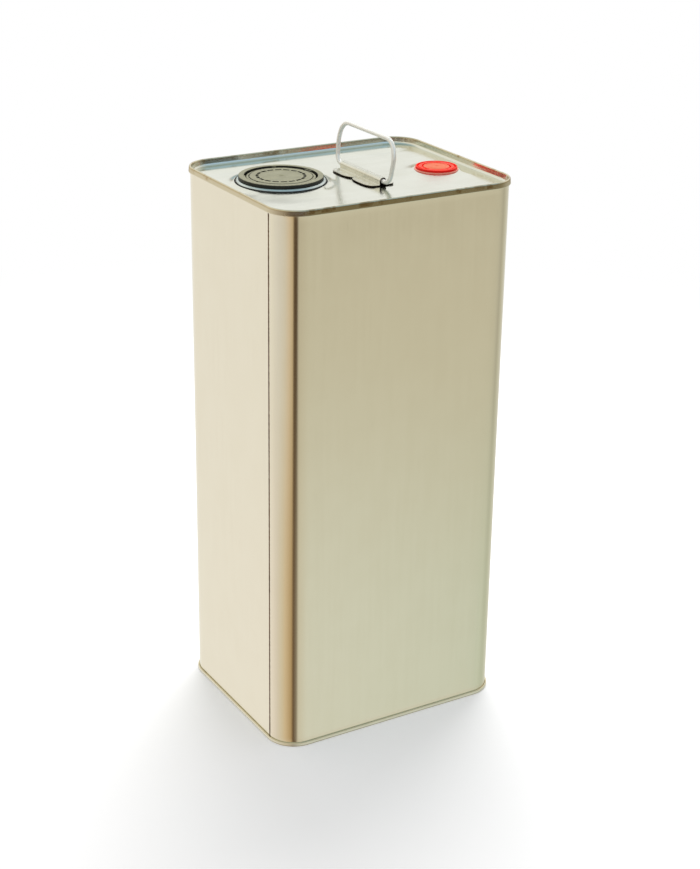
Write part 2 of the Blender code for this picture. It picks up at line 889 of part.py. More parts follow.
def from_rim(depth):
    return can_height - depth


def from_ground(depth):
    return depth


def main():
    clear_scene()

    wall_tin = paint("wall_tinplate", (0.60, 0.55, 0.42), 0.35, 1.0)
    end_tin = paint("end_tinplate", (0.72, 0.71, 0.62), 0.30, 1.0)
    bottom_tin = paint("bottom_tinplate", (0.55, 0.53, 0.46), 0.35, 1.0)
    compound = paint("seam_compound", (0.16, 0.15, 0.12), 0.80, 0.0)
    plate_steel = paint("plate_steel", (0.70, 0.69, 0.62), 0.28, 1.0)
    wire_steel = paint("wire_steel", (0.80, 0.80, 0.78), 0.22, 1.0)
    ring_steel = paint("ring_steel", (0.55, 0.62, 0.64), 0.25, 1.0)
    rubber = paint("gasket_rubber", (0.05, 0.05, 0.05), 0.85, 0.0)
    black = paint("black_plastic", (0.045, 0.045, 0.038), 0.45, 0.0)
    black_web = paint("web_plastic", (0.06, 0.06, 0.055), 0.55, 0.0)
    foam = paint("liner_foam", (0.70, 0.70, 0.66), 0.90, 0.0)
    flange_red = paint("seat_plastic", (0.78, 0.13, 0.07), 0.40, 0.0)
    red = paint("plug_plastic", (0.70, 0.04, 0.02), 0.35, 0.0)
    ring_red = paint("ring_plastic", (0.80, 0.08, 0.04), 0.35, 0.0)

    sheet_end("top_end", from_rim, lid_necks(), end_tin)
    sheet_end("bottom_end", from_ground, (), bottom_tin)
    body_wall(wall_tin)
    seam_compound("top_seam_compound", from_rim, compound)
    seam_compound("bottom_seam_compound", from_ground, compound)

    spout_place = place("spout_place", (spout_x, spout_offset_y, panel_top), spout_turn)
    spout_crimp_ring(ring_steel, spout_place)
    spout_gasket(rubber, spout_place)
    spout_collar(black, spout_place)
    spout_web(black_web, spout_place)
    spout_sleeve(black, spout_place)
    spout_cap(black, spout_place)
    cap_liner(foam, spout_place)
    bail("bail_front", -1, black, spout_place)
    bail("bail_back", 1, black, spout_place)

    vent_place = place("vent_place", (vent_x, vent_offset_y, panel_top), vent_turn)
    vent_seat(flange_red, vent_place)
    vent_plug(red, vent_place)
    vent_liner(foam, vent_place)
    vent_pull_ring(ring_red, vent_place)

    hinge_point = (handle_x, handle_offset_y, panel_top + axis_rise)
    handle_hinge = place("handle_hinge", hinge_point)
    handle_plate(plate_steel, handle_hinge)
    handle_wire(wire_steel, handle_hinge)


main()
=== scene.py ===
# Looks of a plain tinplate can: rolled seams, pouring closure, red vent and wire handle.
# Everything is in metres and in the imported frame, which gives the places of all pieces.
# The closure, the vent and the handle are drawn in millimetres about their own axes.

import json
from math import asin, atan2, cos, pi, radians, sin, sqrt, tan, tau

import bmesh
import bpy
from mathutils import Matrix, Vector


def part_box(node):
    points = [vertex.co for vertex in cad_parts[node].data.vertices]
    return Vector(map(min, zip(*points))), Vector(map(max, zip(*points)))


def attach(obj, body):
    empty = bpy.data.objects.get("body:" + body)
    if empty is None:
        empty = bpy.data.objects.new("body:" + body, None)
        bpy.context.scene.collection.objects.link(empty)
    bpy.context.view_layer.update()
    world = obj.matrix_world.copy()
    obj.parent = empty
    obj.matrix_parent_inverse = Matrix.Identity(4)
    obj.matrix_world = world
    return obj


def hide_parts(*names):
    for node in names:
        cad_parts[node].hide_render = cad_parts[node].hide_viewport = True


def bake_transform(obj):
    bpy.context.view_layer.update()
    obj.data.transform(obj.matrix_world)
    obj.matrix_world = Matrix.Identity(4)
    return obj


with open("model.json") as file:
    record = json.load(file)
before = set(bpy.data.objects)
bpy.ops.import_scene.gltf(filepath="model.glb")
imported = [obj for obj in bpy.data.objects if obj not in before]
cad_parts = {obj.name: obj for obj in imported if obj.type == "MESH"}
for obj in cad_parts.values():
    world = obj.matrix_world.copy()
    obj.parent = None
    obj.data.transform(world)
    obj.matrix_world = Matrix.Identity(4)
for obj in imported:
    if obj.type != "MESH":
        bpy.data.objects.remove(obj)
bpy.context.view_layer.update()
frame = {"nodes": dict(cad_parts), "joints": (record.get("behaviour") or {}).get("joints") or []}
scene = bpy.context.scene
mm = 0.001
mergeGap = mm / 10000

# Places come from the frame

lidLow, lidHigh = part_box("top_end")
joints = {joint["name"]: joint for joint in frame["joints"]}


def placeAt(point, jointName, quarterTurns):  # turned with a joint's level axis
    x, y, _ = joints[jointName]["axis"]
    return Matrix.Translation(Vector(point)) @ Matrix.Rotation(atan2(y, x) + quarterTurns * pi / 2, 4, "Z")


can = {
    "width": lidHigh.x - lidLow.x,
    "depth": lidHigh.y - lidLow.y,
    "height": lidHigh.z,
    "cornerRadius": 21.6 * mm,
    "cornerSteps": 20,
    "sheet": 0.3 * mm,
    "seamHeight": 4.2 * mm,
    "footSeamHeight": 2.7 * mm,
    "layerPitch": 0.4 * mm,
    "foldShare": 0.6,  # a fold's radius, as a share of the pitch
    "rollRadius": 0.5 * mm,
    "panelRecess": 5.2 * mm,
    "panelBend": 2.2 * mm,
    "panelRim": 3.8 * mm,
    "chuckLean": 0.5 * mm,
}
panelTop = can["height"] - can["panelRecess"]
ventLow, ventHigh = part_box("vent_seat")
ventMiddle = (ventLow + ventHigh) / 2
spoutPlace = placeAt(joints["cap_turn"]["pos_m"], "back_bail_lift", 0)
ventPlace = placeAt((ventMiddle.x, ventMiddle.y, panelTop), "vent_ring_lift", 1)
handlePlace = placeAt(joints["handle_swing"]["pos_m"], "handle_swing", -1)

# Camera, from the lines of the can in the photograph

view = {
    "place": (-0.6185, -1.0421, 0.7037),
    "forward": (0.4737, 0.7925, -0.3840),
    "right": (0.8613, -0.5078, 0.0147),
    "lens": 74.63,
    "sensor": 36.0,
}
cameraData = bpy.data.cameras.new("photoView")
cameraData.lens = view["lens"]
cameraData.sensor_width = view["sensor"]
camera = bpy.data.objects.new("photoView", cameraData)
scene.collection.objects.link(camera)
back = -Vector(view["forward"]).normalized()
right = Vector(view["right"]).normalized()
up = back.cross(right).normalized()
camera.matrix_world = Matrix.Translation(view["place"]) @ Matrix((right, up, back)).transposed().to_4x4()
scene.camera = camera
print("camera placed")

# Mesh tools


def roundedPoints(corners, stepsPerTurn, closed=False):  # corners are (x, y, radius)
    spots = [Vector(corner[:2]) for corner in corners]
    points = []
    for index, here in enumerate(spots):
        radius = corners[index][2]
        if radius == 0 or not (closed or 0 < index < len(spots) - 1):
            points.append(here)
            continue
        come = (here - spots[index - 1]).normalized()
        go = (spots[(index + 1) % len(spots)] - here).normalized()
        turn = come.angle_signed(go)
        start = here - come * radius * tan(abs(turn) / 2)
        centre = here + (go - come).normalized() * radius / cos(turn / 2)
        first = atan2(start.y - centre.y, start.x - centre.x)
        steps = max(1, round(stepsPerTurn * abs(turn) / (pi / 2)))
        for step in range(steps + 1):
            angle = first - turn * step / steps
            points.append(centre + radius * Vector((cos(angle), sin(angle))))
    return points


def drawn(values, corners, stepsPerTurn=5, closed=False):  # x and y may be names of values
    return roundedPoints([(values.get(x, x), values.get(y, y), r) for x, y, r in corners], stepsPerTurn, closed)


def sheetOutline(path, thickness):  # both faces of a bent sheet, from its middle line
    left, other = [], []
    for index, point in enumerate(path):
        come = (point - path[index - 1]).normalized() if index else None
        go = (path[index + 1] - point).normalized() if index < len(path) - 1 else None
        come, go = come or go, go or come
        middle = (come + go).normalized()
        side = Vector((-middle.y, middle.x)) * thickness / 2 / middle.dot(go)
        left.append(point + side)
        other.append(point - side)
    return left + other[::-1]


def anglesOf(count):
    return [tau * step / count for step in range(count)]


def addRings(bm, rings, around=True, along=False, ends=False):  # around each ring, and along from last to first
    rings = [[bm.verts.new(point) for point in ring] for ring in rings]
    for one, two in zip(rings, rings[1:] + (rings[:1] if along else [])):
        for index in range(len(one) if around else len(one) - 1):
            after = (index + 1) % len(one)
            bm.faces.new((one[index], one[after], two[after], two[index]))
    if ends:
        bm.faces.new(rings[0])
        bm.faces.new(rings[-1])
    return bm


def lathe(outline, steps, closed=True):  # (radius, height) points in mm, or a function that gives them at an angle
    rings = []
    for angle in anglesOf(steps):
        points = outline(angle) if callable(outline) else outline
        rings.append([(r * mm * cos(angle), r * mm * sin(angle), z * mm) for r, z in points])
    bm = addRings(bmesh.new(), rings, around=closed, along=True)
    bmesh.ops.remove_doubles(bm, verts=bm.verts, dist=mergeGap)
    return bm


def ease(value, low, high):  # smooth step from 0 at low to 1 at high
    share = min(1.0, max(0.0, (value - low) / (high - low)))
    return share * share * (3 - 2 * share)


def apart(angle, degrees):  # how far an angle lies from a direction
    return abs((angle - radians(degrees) + pi) % tau - pi)


def meshObject(name, bm, materials):
    mesh = bpy.data.meshes.new(name)
    bm.to_mesh(mesh)
    bm.free()
    for material in materials:
        mesh.materials.append(material)
    mesh.shade_smooth()
    piece = bpy.data.objects.new(name, mesh)
    scene.collection.objects.link(piece)
    return piece


def addPiece(name, bm, materials, body, node=None, place=None, smoothAngle=40):
    if place is not None:
        bmesh.ops.transform(bm, matrix=place, verts=bm.verts)
    bmesh.ops.recalc_face_normals(bm, faces=bm.faces)
    piece = meshObject(name, bm, materials)
    piece.data.set_sharp_from_angle(angle=radians(smoothAngle))
    if body:  # a piece given no body rides on none
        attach(piece, body)
    if node:
        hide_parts(node)
    return piece


# Node tools


def addNode(tree, kind, sockets=None, **settings):
    made = tree.nodes.new(kind)
    for name, value in settings.items():
        setattr(made, name, value)
    for key, value in (sockets or {}).items():
        if isinstance(value, bpy.types.NodeSocket):
            tree.links.new(value, made.inputs[key])
        else:
            made.inputs[key].default_value = value
    return made


def result(tree, kind, sockets=None, **settings):  # a new node's first output
    return addNode(tree, kind, sockets, **settings).outputs[0]


def calc(tree, operation, *values):
    return result(tree, "ShaderNodeMath", dict(enumerate(values)), operation=operation)


def times(tree, first, *others):
    for value in others:
        first = calc(tree, "MULTIPLY", first, value)
    return first


def vectorCalc(tree, operation, *values):
    return result(tree, "ShaderNodeVectorMath", dict(enumerate(values)), operation=operation)


def remap(tree, value, fromLow, fromHigh, toLow=0.0, toHigh=1.0):
    sockets = {"Value": value, "From Min": fromLow, "From Max": fromHigh, "To Min": toLow, "To Max": toHigh}
    return result(tree, "ShaderNodeMapRange", sockets, interpolation_type="SMOOTHSTEP")


def noise(tree, spot, scale, detail=2.0, rough=0.5):
    return result(tree, "ShaderNodeTexNoise", {"Vector": spot, "Scale": scale, "Detail": detail, "Roughness": rough})


def stretched(tree, spot, turn, stretch):
    return result(tree, "ShaderNodeMapping", {"Vector": spot, "Rotation": turn, "Scale": stretch})


def bump(tree, distance, height, **more):
    return result(tree, "ShaderNodeBump", {"Strength": 1.0, "Distance": distance, "Height": height, **more})


def partsOf(tree, vector):
    return addNode(tree, "ShaderNodeSeparateXYZ", {0: vector}).outputs


def objectSpot(tree):
    return addNode(tree, "ShaderNodeTexCoord").outputs["Object"]


def mixColour(tree, share, one, two, blend="MIX"):
    return addNode(tree, "ShaderNodeMix", {0: share, 6: one, 7: two}, data_type="RGBA", blend_type=blend).outputs[2]


def kindOf(value):  # of the socket that holds a value
    if isinstance(value, str):
        return value
    return {int: "Int", float: "Float"}.get(type(value)) or {3: "Vector", 4: "Color"}[len(value)]


def newTree(name, kind, inputs, outputs):  # an input has its first value, or a word for its kind
    tree = bpy.data.node_groups.new(name, kind)
    for label, value in inputs.items():
        socket = tree.interface.new_socket(label, in_out="INPUT", socket_type="NodeSocket" + kindOf(value))
        if not isinstance(value, str):
            socket.default_value = value
    for label in outputs:
        tree.interface.new_socket(label, in_out="OUTPUT", socket_type="NodeSocket" + outputs[label])
    return tree, tree.nodes.new("NodeGroupInput").outputs, tree.nodes.new("NodeGroupOutput").inputs


def newGroup(name, inputs, outputs):
    return newTree(name, "ShaderNodeTree", {"Coordinates": "Vector", **inputs}, outputs)


def connect(tree, sockets, values):
    for label, value in values.items():
        tree.links.new(value, sockets[label])
    return tree


def labelled(values):  # Wave_height is the socket "Wave height"
    return {key.replace("_", " "): value for key, value in values.items()}


def rgb(*colour):
    return (*colour, 1.0)


# Shared surface effects


def buildScuffs():  # thin scratches in two directions and soft handling marks
    outputs = {"Scratches": "Float", "Marks": "Float"}
    tree, given, made = newGroup("scuffs", {"Size": 90.0, "Amount": 0.5}, outputs)
    spot, size, amount = given["Coordinates"], given["Size"], given["Amount"]
    lines = []
    for turn, stretch in (((0.3, 0.2, 0.5), (1, 1, 0.03)), ((1.1, 0.7, -0.4), (1, 0.03, 1))):
        pattern = noise(tree, stretched(tree, spot, turn, stretch), times(tree, size, 9.0), 1.0)
        lines.append(remap(tree, pattern, 0.70, 0.76))
    patches = remap(tree, noise(tree, spot, size, 1.0), 0.50, 0.66)
    cloud = remap(tree, noise(tree, spot, times(tree, size, 0.35), 4.0), 0.45, 0.75)
    return connect(tree, made, {
        "Scratches": times(tree, calc(tree, "MAXIMUM", *lines), patches, amount), "Marks": times(tree, cloud, amount),
    })


def buildEdgeWear():  # where a convex edge has been rubbed
    tree, given, made = newGroup("edgeWear", {"Amount": 0.5, "Breakup": 900.0}, {"Wear": "Float"})
    edge = remap(tree, addNode(tree, "ShaderNodeNewGeometry").outputs["Pointiness"], 0.51, 0.58)
    broken = remap(tree, noise(tree, given["Coordinates"], given["Breakup"], 3.0), 0.35, 0.65)
    return connect(tree, made, {"Wear": times(tree, edge, broken, given["Amount"])})


def spreadOut(tree, given, pattern):  # roughness that varies with a pattern
    spread = times(tree, calc(tree, "SUBTRACT", pattern, 0.5), given["Roughness spread"])
    return calc(tree, "ADD", given["Roughness"], spread)


surfaceOutputs = {"Color": "Color", "Roughness": "Float", "Normal": "Vector"}


def buildRolledSteel():  # tinned or drawn steel: streaks along the rolling direction, slow waves, fine grain
    tree, given, made = newGroup("rolledSteel", {
        "Tint": rgb(0.8, 0.8, 0.7), "Deep tint": rgb(0.7, 0.7, 0.6), "Stretch": (1, 1, 0.05),
        "Streak size": 260.0, "Roughness": 0.2, "Roughness spread": 0.06, "Wave height": 0.0001, "Wave size": 18.0,
        "Grain height": 0.000002,
    }, surfaceOutputs)
    spot = given["Coordinates"]
    streaks = noise(tree, stretched(tree, spot, (0, 0, 0), given["Stretch"]), given["Streak size"], 3.0, 0.6)
    mottle = noise(tree, spot, times(tree, given["Wave size"], 2.3), 3.0)
    share = remap(tree, calc(tree, "ADD", times(tree, streaks, 0.45), times(tree, mottle, 0.55)), 0.36, 0.66)
    waves = bump(tree, given["Wave height"], noise(tree, spot, given["Wave size"], 1.0))
    return connect(tree, made, {
        "Color": mixColour(tree, share, given["Tint"], given["Deep tint"]),
        "Roughness": spreadOut(tree, given, share),
        "Normal": bump(tree, given["Grain height"], streaks, Normal=waves),
    })


def buildMouldedPlastic():  # moulded plastic: fine stipple, slow flow marks, paler where rubbed
    tree, given, made = newGroup("mouldedPlastic", {
        "Base": rgb(0.05, 0.05, 0.05), "Rubbed": rgb(0.12, 0.12, 0.10), "Wear": 0.0,
        "Stipple size": 2600.0, "Stipple height": 0.00001, "Roughness": 0.4, "Roughness spread": 0.1,
    }, surfaceOutputs)
    flow = noise(tree, given["Coordinates"], 85.0, 3.0)
    marbled = calc(tree, "ADD", times(tree, remap(tree, flow, 0.35, 0.7), 0.22), given["Wear"])
    return connect(tree, made, {
        "Color": mixColour(tree, calc(tree, "MINIMUM", marbled, 1.0), given["Base"], given["Rubbed"]),
        "Roughness": spreadOut(tree, given, flow),
        "Normal": bump(tree, given["Stipple height"], noise(tree, given["Coordinates"], given["Stipple size"])),
    })


def buildDustAndSheen():  # a pale film on faces that look up: partly dust, mostly painted sheen that lightens tops as grazing gloss would
    tree, given, made = newGroup("dustAndSheen", {
        "Color": rgb(0.05, 0.05, 0.05), "Dust and sheen": rgb(0.4, 0.38, 0.25), "Amount": 0.5, "Patch size": 120.0,
    }, {"Color": "Color"})
    facing = partsOf(tree, addNode(tree, "ShaderNodeTexCoord").outputs["Normal"])["Z"]
    patches = remap(tree, noise(tree, given["Coordinates"], given["Patch size"], 4.0), 0.25, 0.75, 0.82, 1.0)
    share = times(tree, remap(tree, facing, 0.45, 0.98), patches, given["Amount"])
    return connect(tree, made, {"Color": mixColour(tree, share, given["Color"], given["Dust and sheen"])})


scuffs = buildScuffs()
edgeWear = buildEdgeWear()
dustAndSheen = buildDustAndSheen()
rolledSteel = buildRolledSteel()
mouldedPlastic = buildMouldedPlastic()


def newMaterial(name, **shaderValues):
    material = bpy.data.materials.new(name)
    material.use_nodes = True
    inputs = material.node_tree.nodes["Principled BSDF"].inputs
    for label, value in labelled(shaderValues).items():
        inputs[label].default_value = value
    return material, material.node_tree, inputs, objectSpot(material.node_tree)


def useGroup(tree, group, sockets):
    return addNode(tree, "ShaderNodeGroup", sockets, node_tree=group).outputs


scratchColour = (0.42, 0.37, 0.28)


def steelMaterial(name, tint, deepTint, roughness, marks=0.5, metallic=1.0, **grain):
    material, tree, inputs, spot = newMaterial(name, Metallic=metallic)
    surface = useGroup(tree, rolledSteel, {
        "Coordinates": spot, "Tint": rgb(*tint), "Deep tint": rgb(*deepTint), "Roughness": roughness, **labelled(grain),
    })
    wear = useGroup(tree, scuffs, {"Coordinates": spot, "Amount": marks})
    rougher = calc(tree, "ADD", surface["Roughness"], times(tree, wear["Marks"], 0.05))
    connect(tree, inputs, {
        "Base Color": mixColour(tree, times(tree, wear["Scratches"], 0.35), surface["Color"], rgb(*scratchColour)),
        "Roughness": calc(tree, "ADD", rougher, times(tree, wear["Scratches"], 0.2)),
        "Normal": surface["Normal"],
    })
    return material


def plasticMaterial(
    name, base, rubbed, roughness, wear=0.4, coat=0.0, ior=1.5, dustSheen=(0.4, 0.38, 0.25), dustSheenAmount=0.0, **grain,
):
    material, tree, inputs, spot = newMaterial(name, Metallic=0.0, IOR=ior, Coat_Weight=coat, Coat_Roughness=0.3)
    marks = useGroup(tree, scuffs, {"Coordinates": spot, "Size": 160.0, "Amount": 0.6})["Marks"]
    surface = useGroup(tree, mouldedPlastic, {
        "Coordinates": spot, "Base": rgb(*base), "Rubbed": rgb(*rubbed), "Roughness": roughness,
        "Wear": useGroup(tree, edgeWear, {"Coordinates": spot, "Amount": wear})["Wear"], **labelled(grain),
    })
    # pale colour on upward faces: partly dust, mostly painted sheen
    dustSheenInputs = {"Coordinates": spot, "Color": surface["Color"], "Dust and sheen": rgb(*dustSheen), "Amount": dustSheenAmount}
    connect(tree, inputs, {
        "Base Color": useGroup(tree, dustAndSheen, dustSheenInputs)["Color"],
        "Roughness": calc(tree, "ADD", surface["Roughness"], times(tree, marks, 0.08)),
        "Normal": surface["Normal"],
    })
    return material


def tintWhere(material, share, tint):
    tree = material.node_tree
    colour = tree.nodes["Principled BSDF"].inputs["Base Color"]
    tree.links.new(mixColour(tree, share, colour.links[0].from_socket, rgb(*tint), "MULTIPLY"), colour)


# Painted shade along the bottom's foot and under its seam
footShade = {
    "ledgeShadeTint": (0.98, 0.86, 0.68), "ledge": 0.6 * mm, "tint": (0.46, 0.42, 0.32), "unshadedAbove": 1.1 * mm, "full": 0.4 * mm,
}


def paintFootShade(material):  # painted shade: the lowest edge is darker, and the seam's ledge browner, where shade falls at the foot and under the seam
    tree = material.node_tree
    height = partsOf(tree, objectSpot(tree))["Z"]
    ledge, seamTop = footShade["ledge"], can["footSeamHeight"]
    tintWhere(material, remap(tree, height, seamTop - ledge, seamTop - ledge / 2), footShade["ledgeShadeTint"])
    tintWhere(material, remap(tree, height, footShade["unshadedAbove"], footShade["full"]), footShade["tint"])


lidRimAndRise = {
    "rimReflectionTint": (0.90, 0.82, 0.68), "rimFrom": 1.5 * mm, "rimFull": 0.8 * mm,
    "spotTint": (0.66, 0.54, 0.40), "spotSize": 14 * mm, "spotsFrom": 3.4 * mm, "spotsFull": 2.4 * mm,
    "rise": 1.0 * mm, "riseFrom": 26 * mm, "riseTo": 8 * mm,
}


def tintRimAndRaisePanel(material):  # a rim tinted brown on top as a painted reflection, brown blotches on the seam, and a panel that rises a little at the back
    tree = material.node_tree
    spot = objectSpot(tree)
    parts = partsOf(tree, spot)
    top, behind = can["height"], can["depth"] / 2
    # painted reflection: brown over the rim's top in place of what the roll reflects
    onRim = remap(tree, parts["Z"], top - lidRimAndRise["rimFrom"], top - lidRimAndRise["rimFull"])
    tintWhere(material, onRim, lidRimAndRise["rimReflectionTint"])
    blotches = remap(tree, noise(tree, spot, 1 / lidRimAndRise["spotSize"], 4.0, 0.6), 0.52, 0.64)
    onSeam = remap(tree, parts["Z"], top - lidRimAndRise["spotsFrom"], top - lidRimAndRise["spotsFull"])
    tintWhere(material, times(tree, onSeam, blotches), lidRimAndRise["spotTint"])
    height = remap(tree, parts["Y"], behind - lidRimAndRise["riseFrom"], behind - lidRimAndRise["riseTo"], 0.0, lidRimAndRise["rise"])
    normal = tree.nodes["Principled BSDF"].inputs["Normal"]
    tree.links.new(bump(tree, 1.0, height, Normal=normal.links[0].from_socket), normal)


wallTin = steelMaterial(
    "wallTinplate", (0.80, 0.79, 0.69), (0.79, 0.777, 0.674), 0.13, marks=0.15, Wave_height=0.00006,
    Roughness_spread=0.015, Grain_height=0.0000002,
)
lidTin = steelMaterial(
    "lidTinplate", (0.78, 0.775, 0.675), (0.765, 0.76, 0.655), 0.17, Stretch=(0.06, 1, 1), Wave_height=0.00005,
    Grain_height=0.0000008,
)
tintRimAndRaisePanel(lidTin)
bottomTin = steelMaterial(
    "bottomTinplate", (0.86, 0.86, 0.74), (0.82, 0.82, 0.70), 0.30, marks=0.6, metallic=0.6, Stretch=(0.06, 1, 1),
)
paintFootShade(bottomTin)
plateTin = steelMaterial("plateTinplate", (0.80, 0.79, 0.70), (0.75, 0.73, 0.63), 0.26, marks=0.7, Streak_size=420.0)
wireSteel = steelMaterial(
    "drawnWire", (1.0, 0.99, 0.94), (0.95, 0.94, 0.88), 0.34, marks=0.4, metallic=0.42, Streak_size=1400.0,
    Stretch=(1, 1, 0.12), Wave_height=0.00001, Wave_size=160.0, Grain_height=0.000004,
)
# Painted reflection: the crimp ring's tinplate is tinted blue-green for the sky it reflects
skyTintedRing = steelMaterial(
    "crimpedTinplateSkyTint", (0.70, 0.76, 0.74), (0.62, 0.68, 0.65), 0.33, Wave_height=0.00002, Wave_size=60.0,
)
weldTint = steelMaterial("heatTintedWeld", (0.16, 0.09, 0.045), (0.09, 0.05, 0.03), 0.42, marks=0.2, Streak_size=900.0)
# Painted shade: near-black brown for the hinge plate's cut edges and underside, standing in for the dark gap under the
# plate
plateEdgeShade = steelMaterial("plateEdgeShadeSteel", (0.10, 0.07, 0.045), (0.05, 0.035, 0.025), 0.5, marks=0.2, Streak_size=900.0)
closureBlack = {
    "base": (0.016, 0.016, 0.012), "rubbed": (0.06, 0.058, 0.044), "roughness": 0.45, "coat": 0.1, "ior": 1.38,
}
# On these closures and the red plastics below, the dust on upward faces is mostly painted sheen that lightens their
# tops
blackPlastic = plasticMaterial("blackPlastic", **closureBlack, dustSheen=(0.36, 0.35, 0.22), dustSheenAmount=0.72)
capPlastic = plasticMaterial("capPlastic", **closureBlack, dustSheen=(0.31, 0.30, 0.185), dustSheenAmount=0.85)
webPlastic = plasticMaterial("thinBlackPlastic", (0.05, 0.05, 0.045), (0.12, 0.12, 0.10), 0.5, wear=0.2)
redSeatPlastic = plasticMaterial(
    "paleRedPlastic", (0.97, 0.34, 0.25), (0.95, 0.45, 0.36), 0.38, wear=0.5, ior=1.38, dustSheen=(0.84, 0.26, 0.18),
    dustSheenAmount=0.55,
)
redPlastic = plasticMaterial(
    "redPlastic", (0.95, 0.006, 0.002), (0.92, 0.06, 0.025), 0.42, ior=1.28, dustSheen=(0.77, 0.055, 0.018), dustSheenAmount=0.6,
)
redRingPlastic = plasticMaterial(
    "ringRedPlastic", (0.92, 0.010, 0.004), (0.90, 0.08, 0.035), 0.40, ior=1.30, dustSheen=(0.77, 0.065, 0.022), dustSheenAmount=0.6,
)
paleDiscPlastic = plasticMaterial(
    "discRedPlastic", (0.85, 0.03, 0.01), (0.85, 0.14, 0.06), 0.42, wear=0.3, ior=1.32, dustSheen=(0.66, 0.17, 0.068),
    dustSheenAmount=0.85,
)
sealRubber = plasticMaterial(
    "gasketRubber", (0.02, 0.02, 0.02), (0.05, 0.05, 0.045), 0.75, wear=0.1, Stipple_height=0.00002,
)
sealPaste = plasticMaterial(
    "seamCompound", (0.15, 0.14, 0.11), (0.25, 0.23, 0.18), 0.8, wear=0.1, Stipple_height=0.00003,
)
linerFoam = plasticMaterial(
    "foamLiner", (0.70, 0.70, 0.66), (0.80, 0.80, 0.76), 0.9, wear=0.1, Stipple_height=0.00004, Stipple_size=1500.0,
)
print("materials:", len(bpy.data.materials))

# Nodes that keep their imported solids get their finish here

for nodeName, material in {
    "top_seam_compound": sealPaste, "bottom_seam_compound": sealPaste, "spout_gasket": sealRubber,
    "cap_liner": linerFoam, "vent_liner": linerFoam,
}.items():
    frame["nodes"][nodeName].data.materials.clear()
    frame["nodes"][nodeName].data.materials.append(material)

# Geometry Nodes: a section swept round the can, weld beads and grip ribs


def newShapeTree(name, inputs):
    return newTree(name, "GeometryNodeTree", {**inputs, "Material": "Material"}, {"Geometry": "Geometry"})


def finishShape(tree, given, made, geometry):
    solid = result(tree, "GeometryNodeRealizeInstances", {0: geometry})
    painted = result(tree, "GeometryNodeSetMaterial", {"Geometry": solid, "Material": given["Material"]})
    return connect(tree, made, {"Geometry": painted})


def buildCanSweep():
    tree, given, made = newShapeTree("canSweep", {
        "Section": "Geometry", "Width": 0.18, "Depth": 0.15, "Corner radius": 0.02, "Corner steps": 12, "Side cuts": 0,
        "Wave height": 0.0, "Wave size": 0.06, "Bulge": 0.0, "Wave low": 0.0, "Wave high": 0.4, "Fade": 0.03, "Seed": 3.0,
    })
    steps, fade = given["Corner steps"], given["Fade"]
    box = result(tree, "GeometryNodeCurvePrimitiveQuadrilateral", {"Width": given["Width"], "Height": given["Depth"]})
    corners = result(tree, "GeometryNodeFilletCurve", {
        "Curve": box, "Count": steps, "Radius": given["Corner radius"],
    }, mode="POLY")
    pointInCorner = calc(tree, "MODULO", result(tree, "GeometryNodeInputIndex"), calc(tree, "ADD", steps, 1.0))
    startsSide = calc(tree, "COMPARE", pointInCorner, steps, 0.5)
    path = result(tree, "GeometryNodeSubdivideCurve", {
        "Curve": corners, "Cuts": times(tree, startsSide, given["Side cuts"]),
    })
    upright = result(tree, "GeometryNodeSetCurveNormal", {"Curve": path}, mode="Z_UP")
    swept = result(tree, "GeometryNodeCurveToMesh", {"Curve": upright, "Profile Curve": given["Section"]})

    spot = result(tree, "GeometryNodeInputPosition")
    halfX, halfY = (
        calc(tree, "SUBTRACT", times(tree, given[side], 0.5), given["Corner radius"]) for side in ("Width", "Depth")
    )
    core = result(tree, "ShaderNodeCombineXYZ", {"X": halfX, "Y": halfY, "Z": 0.0})
    farCore = vectorCalc(tree, "MULTIPLY", core, (-1, -1, -1))
    inside = vectorCalc(tree, "MINIMUM", vectorCalc(tree, "MAXIMUM", spot, farCore), core)
    away = vectorCalc(tree, "MULTIPLY", vectorCalc(tree, "SUBTRACT", spot, inside), (1, 1, 0))
    outward = vectorCalc(tree, "NORMALIZE", away)
    parts = partsOf(tree, spot)
    room = calc(tree, "MAXIMUM", *(
        calc(tree, "SUBTRACT", half, calc(tree, "ABSOLUTE", parts[axis])) for half, axis in ((halfX, "X"), (halfY, "Y"))
    ))
    flat = remap(tree, room, 0.0, fade)
    aboveLow = remap(tree, calc(tree, "SUBTRACT", parts["Z"], given["Wave low"]), 0.0, fade)
    belowHigh = remap(tree, calc(tree, "SUBTRACT", given["Wave high"], parts["Z"]), 0.0, fade)
    mask = times(tree, flat, times(tree, aboveLow, belowHigh))
    sockets = {"Vector": spot, "W": given["Seed"], "Scale": calc(tree, "DIVIDE", 1.0, given["Wave size"]), "Detail": 1.0}
    waves = result(tree, "ShaderNodeTexNoise", sockets, noise_dimensions="4D")
    lift = calc(tree, "ADD", times(tree, calc(tree, "SUBTRACT", waves, 0.5), given["Wave height"]), given["Bulge"])
    offset = result(tree, "ShaderNodeVectorMath", {0: outward, "Scale": times(tree, lift, mask)}, operation="SCALE")
    return finishShape(tree, given, made, result(tree, "GeometryNodeSetPosition", {"Geometry": swept, "Offset": offset}))


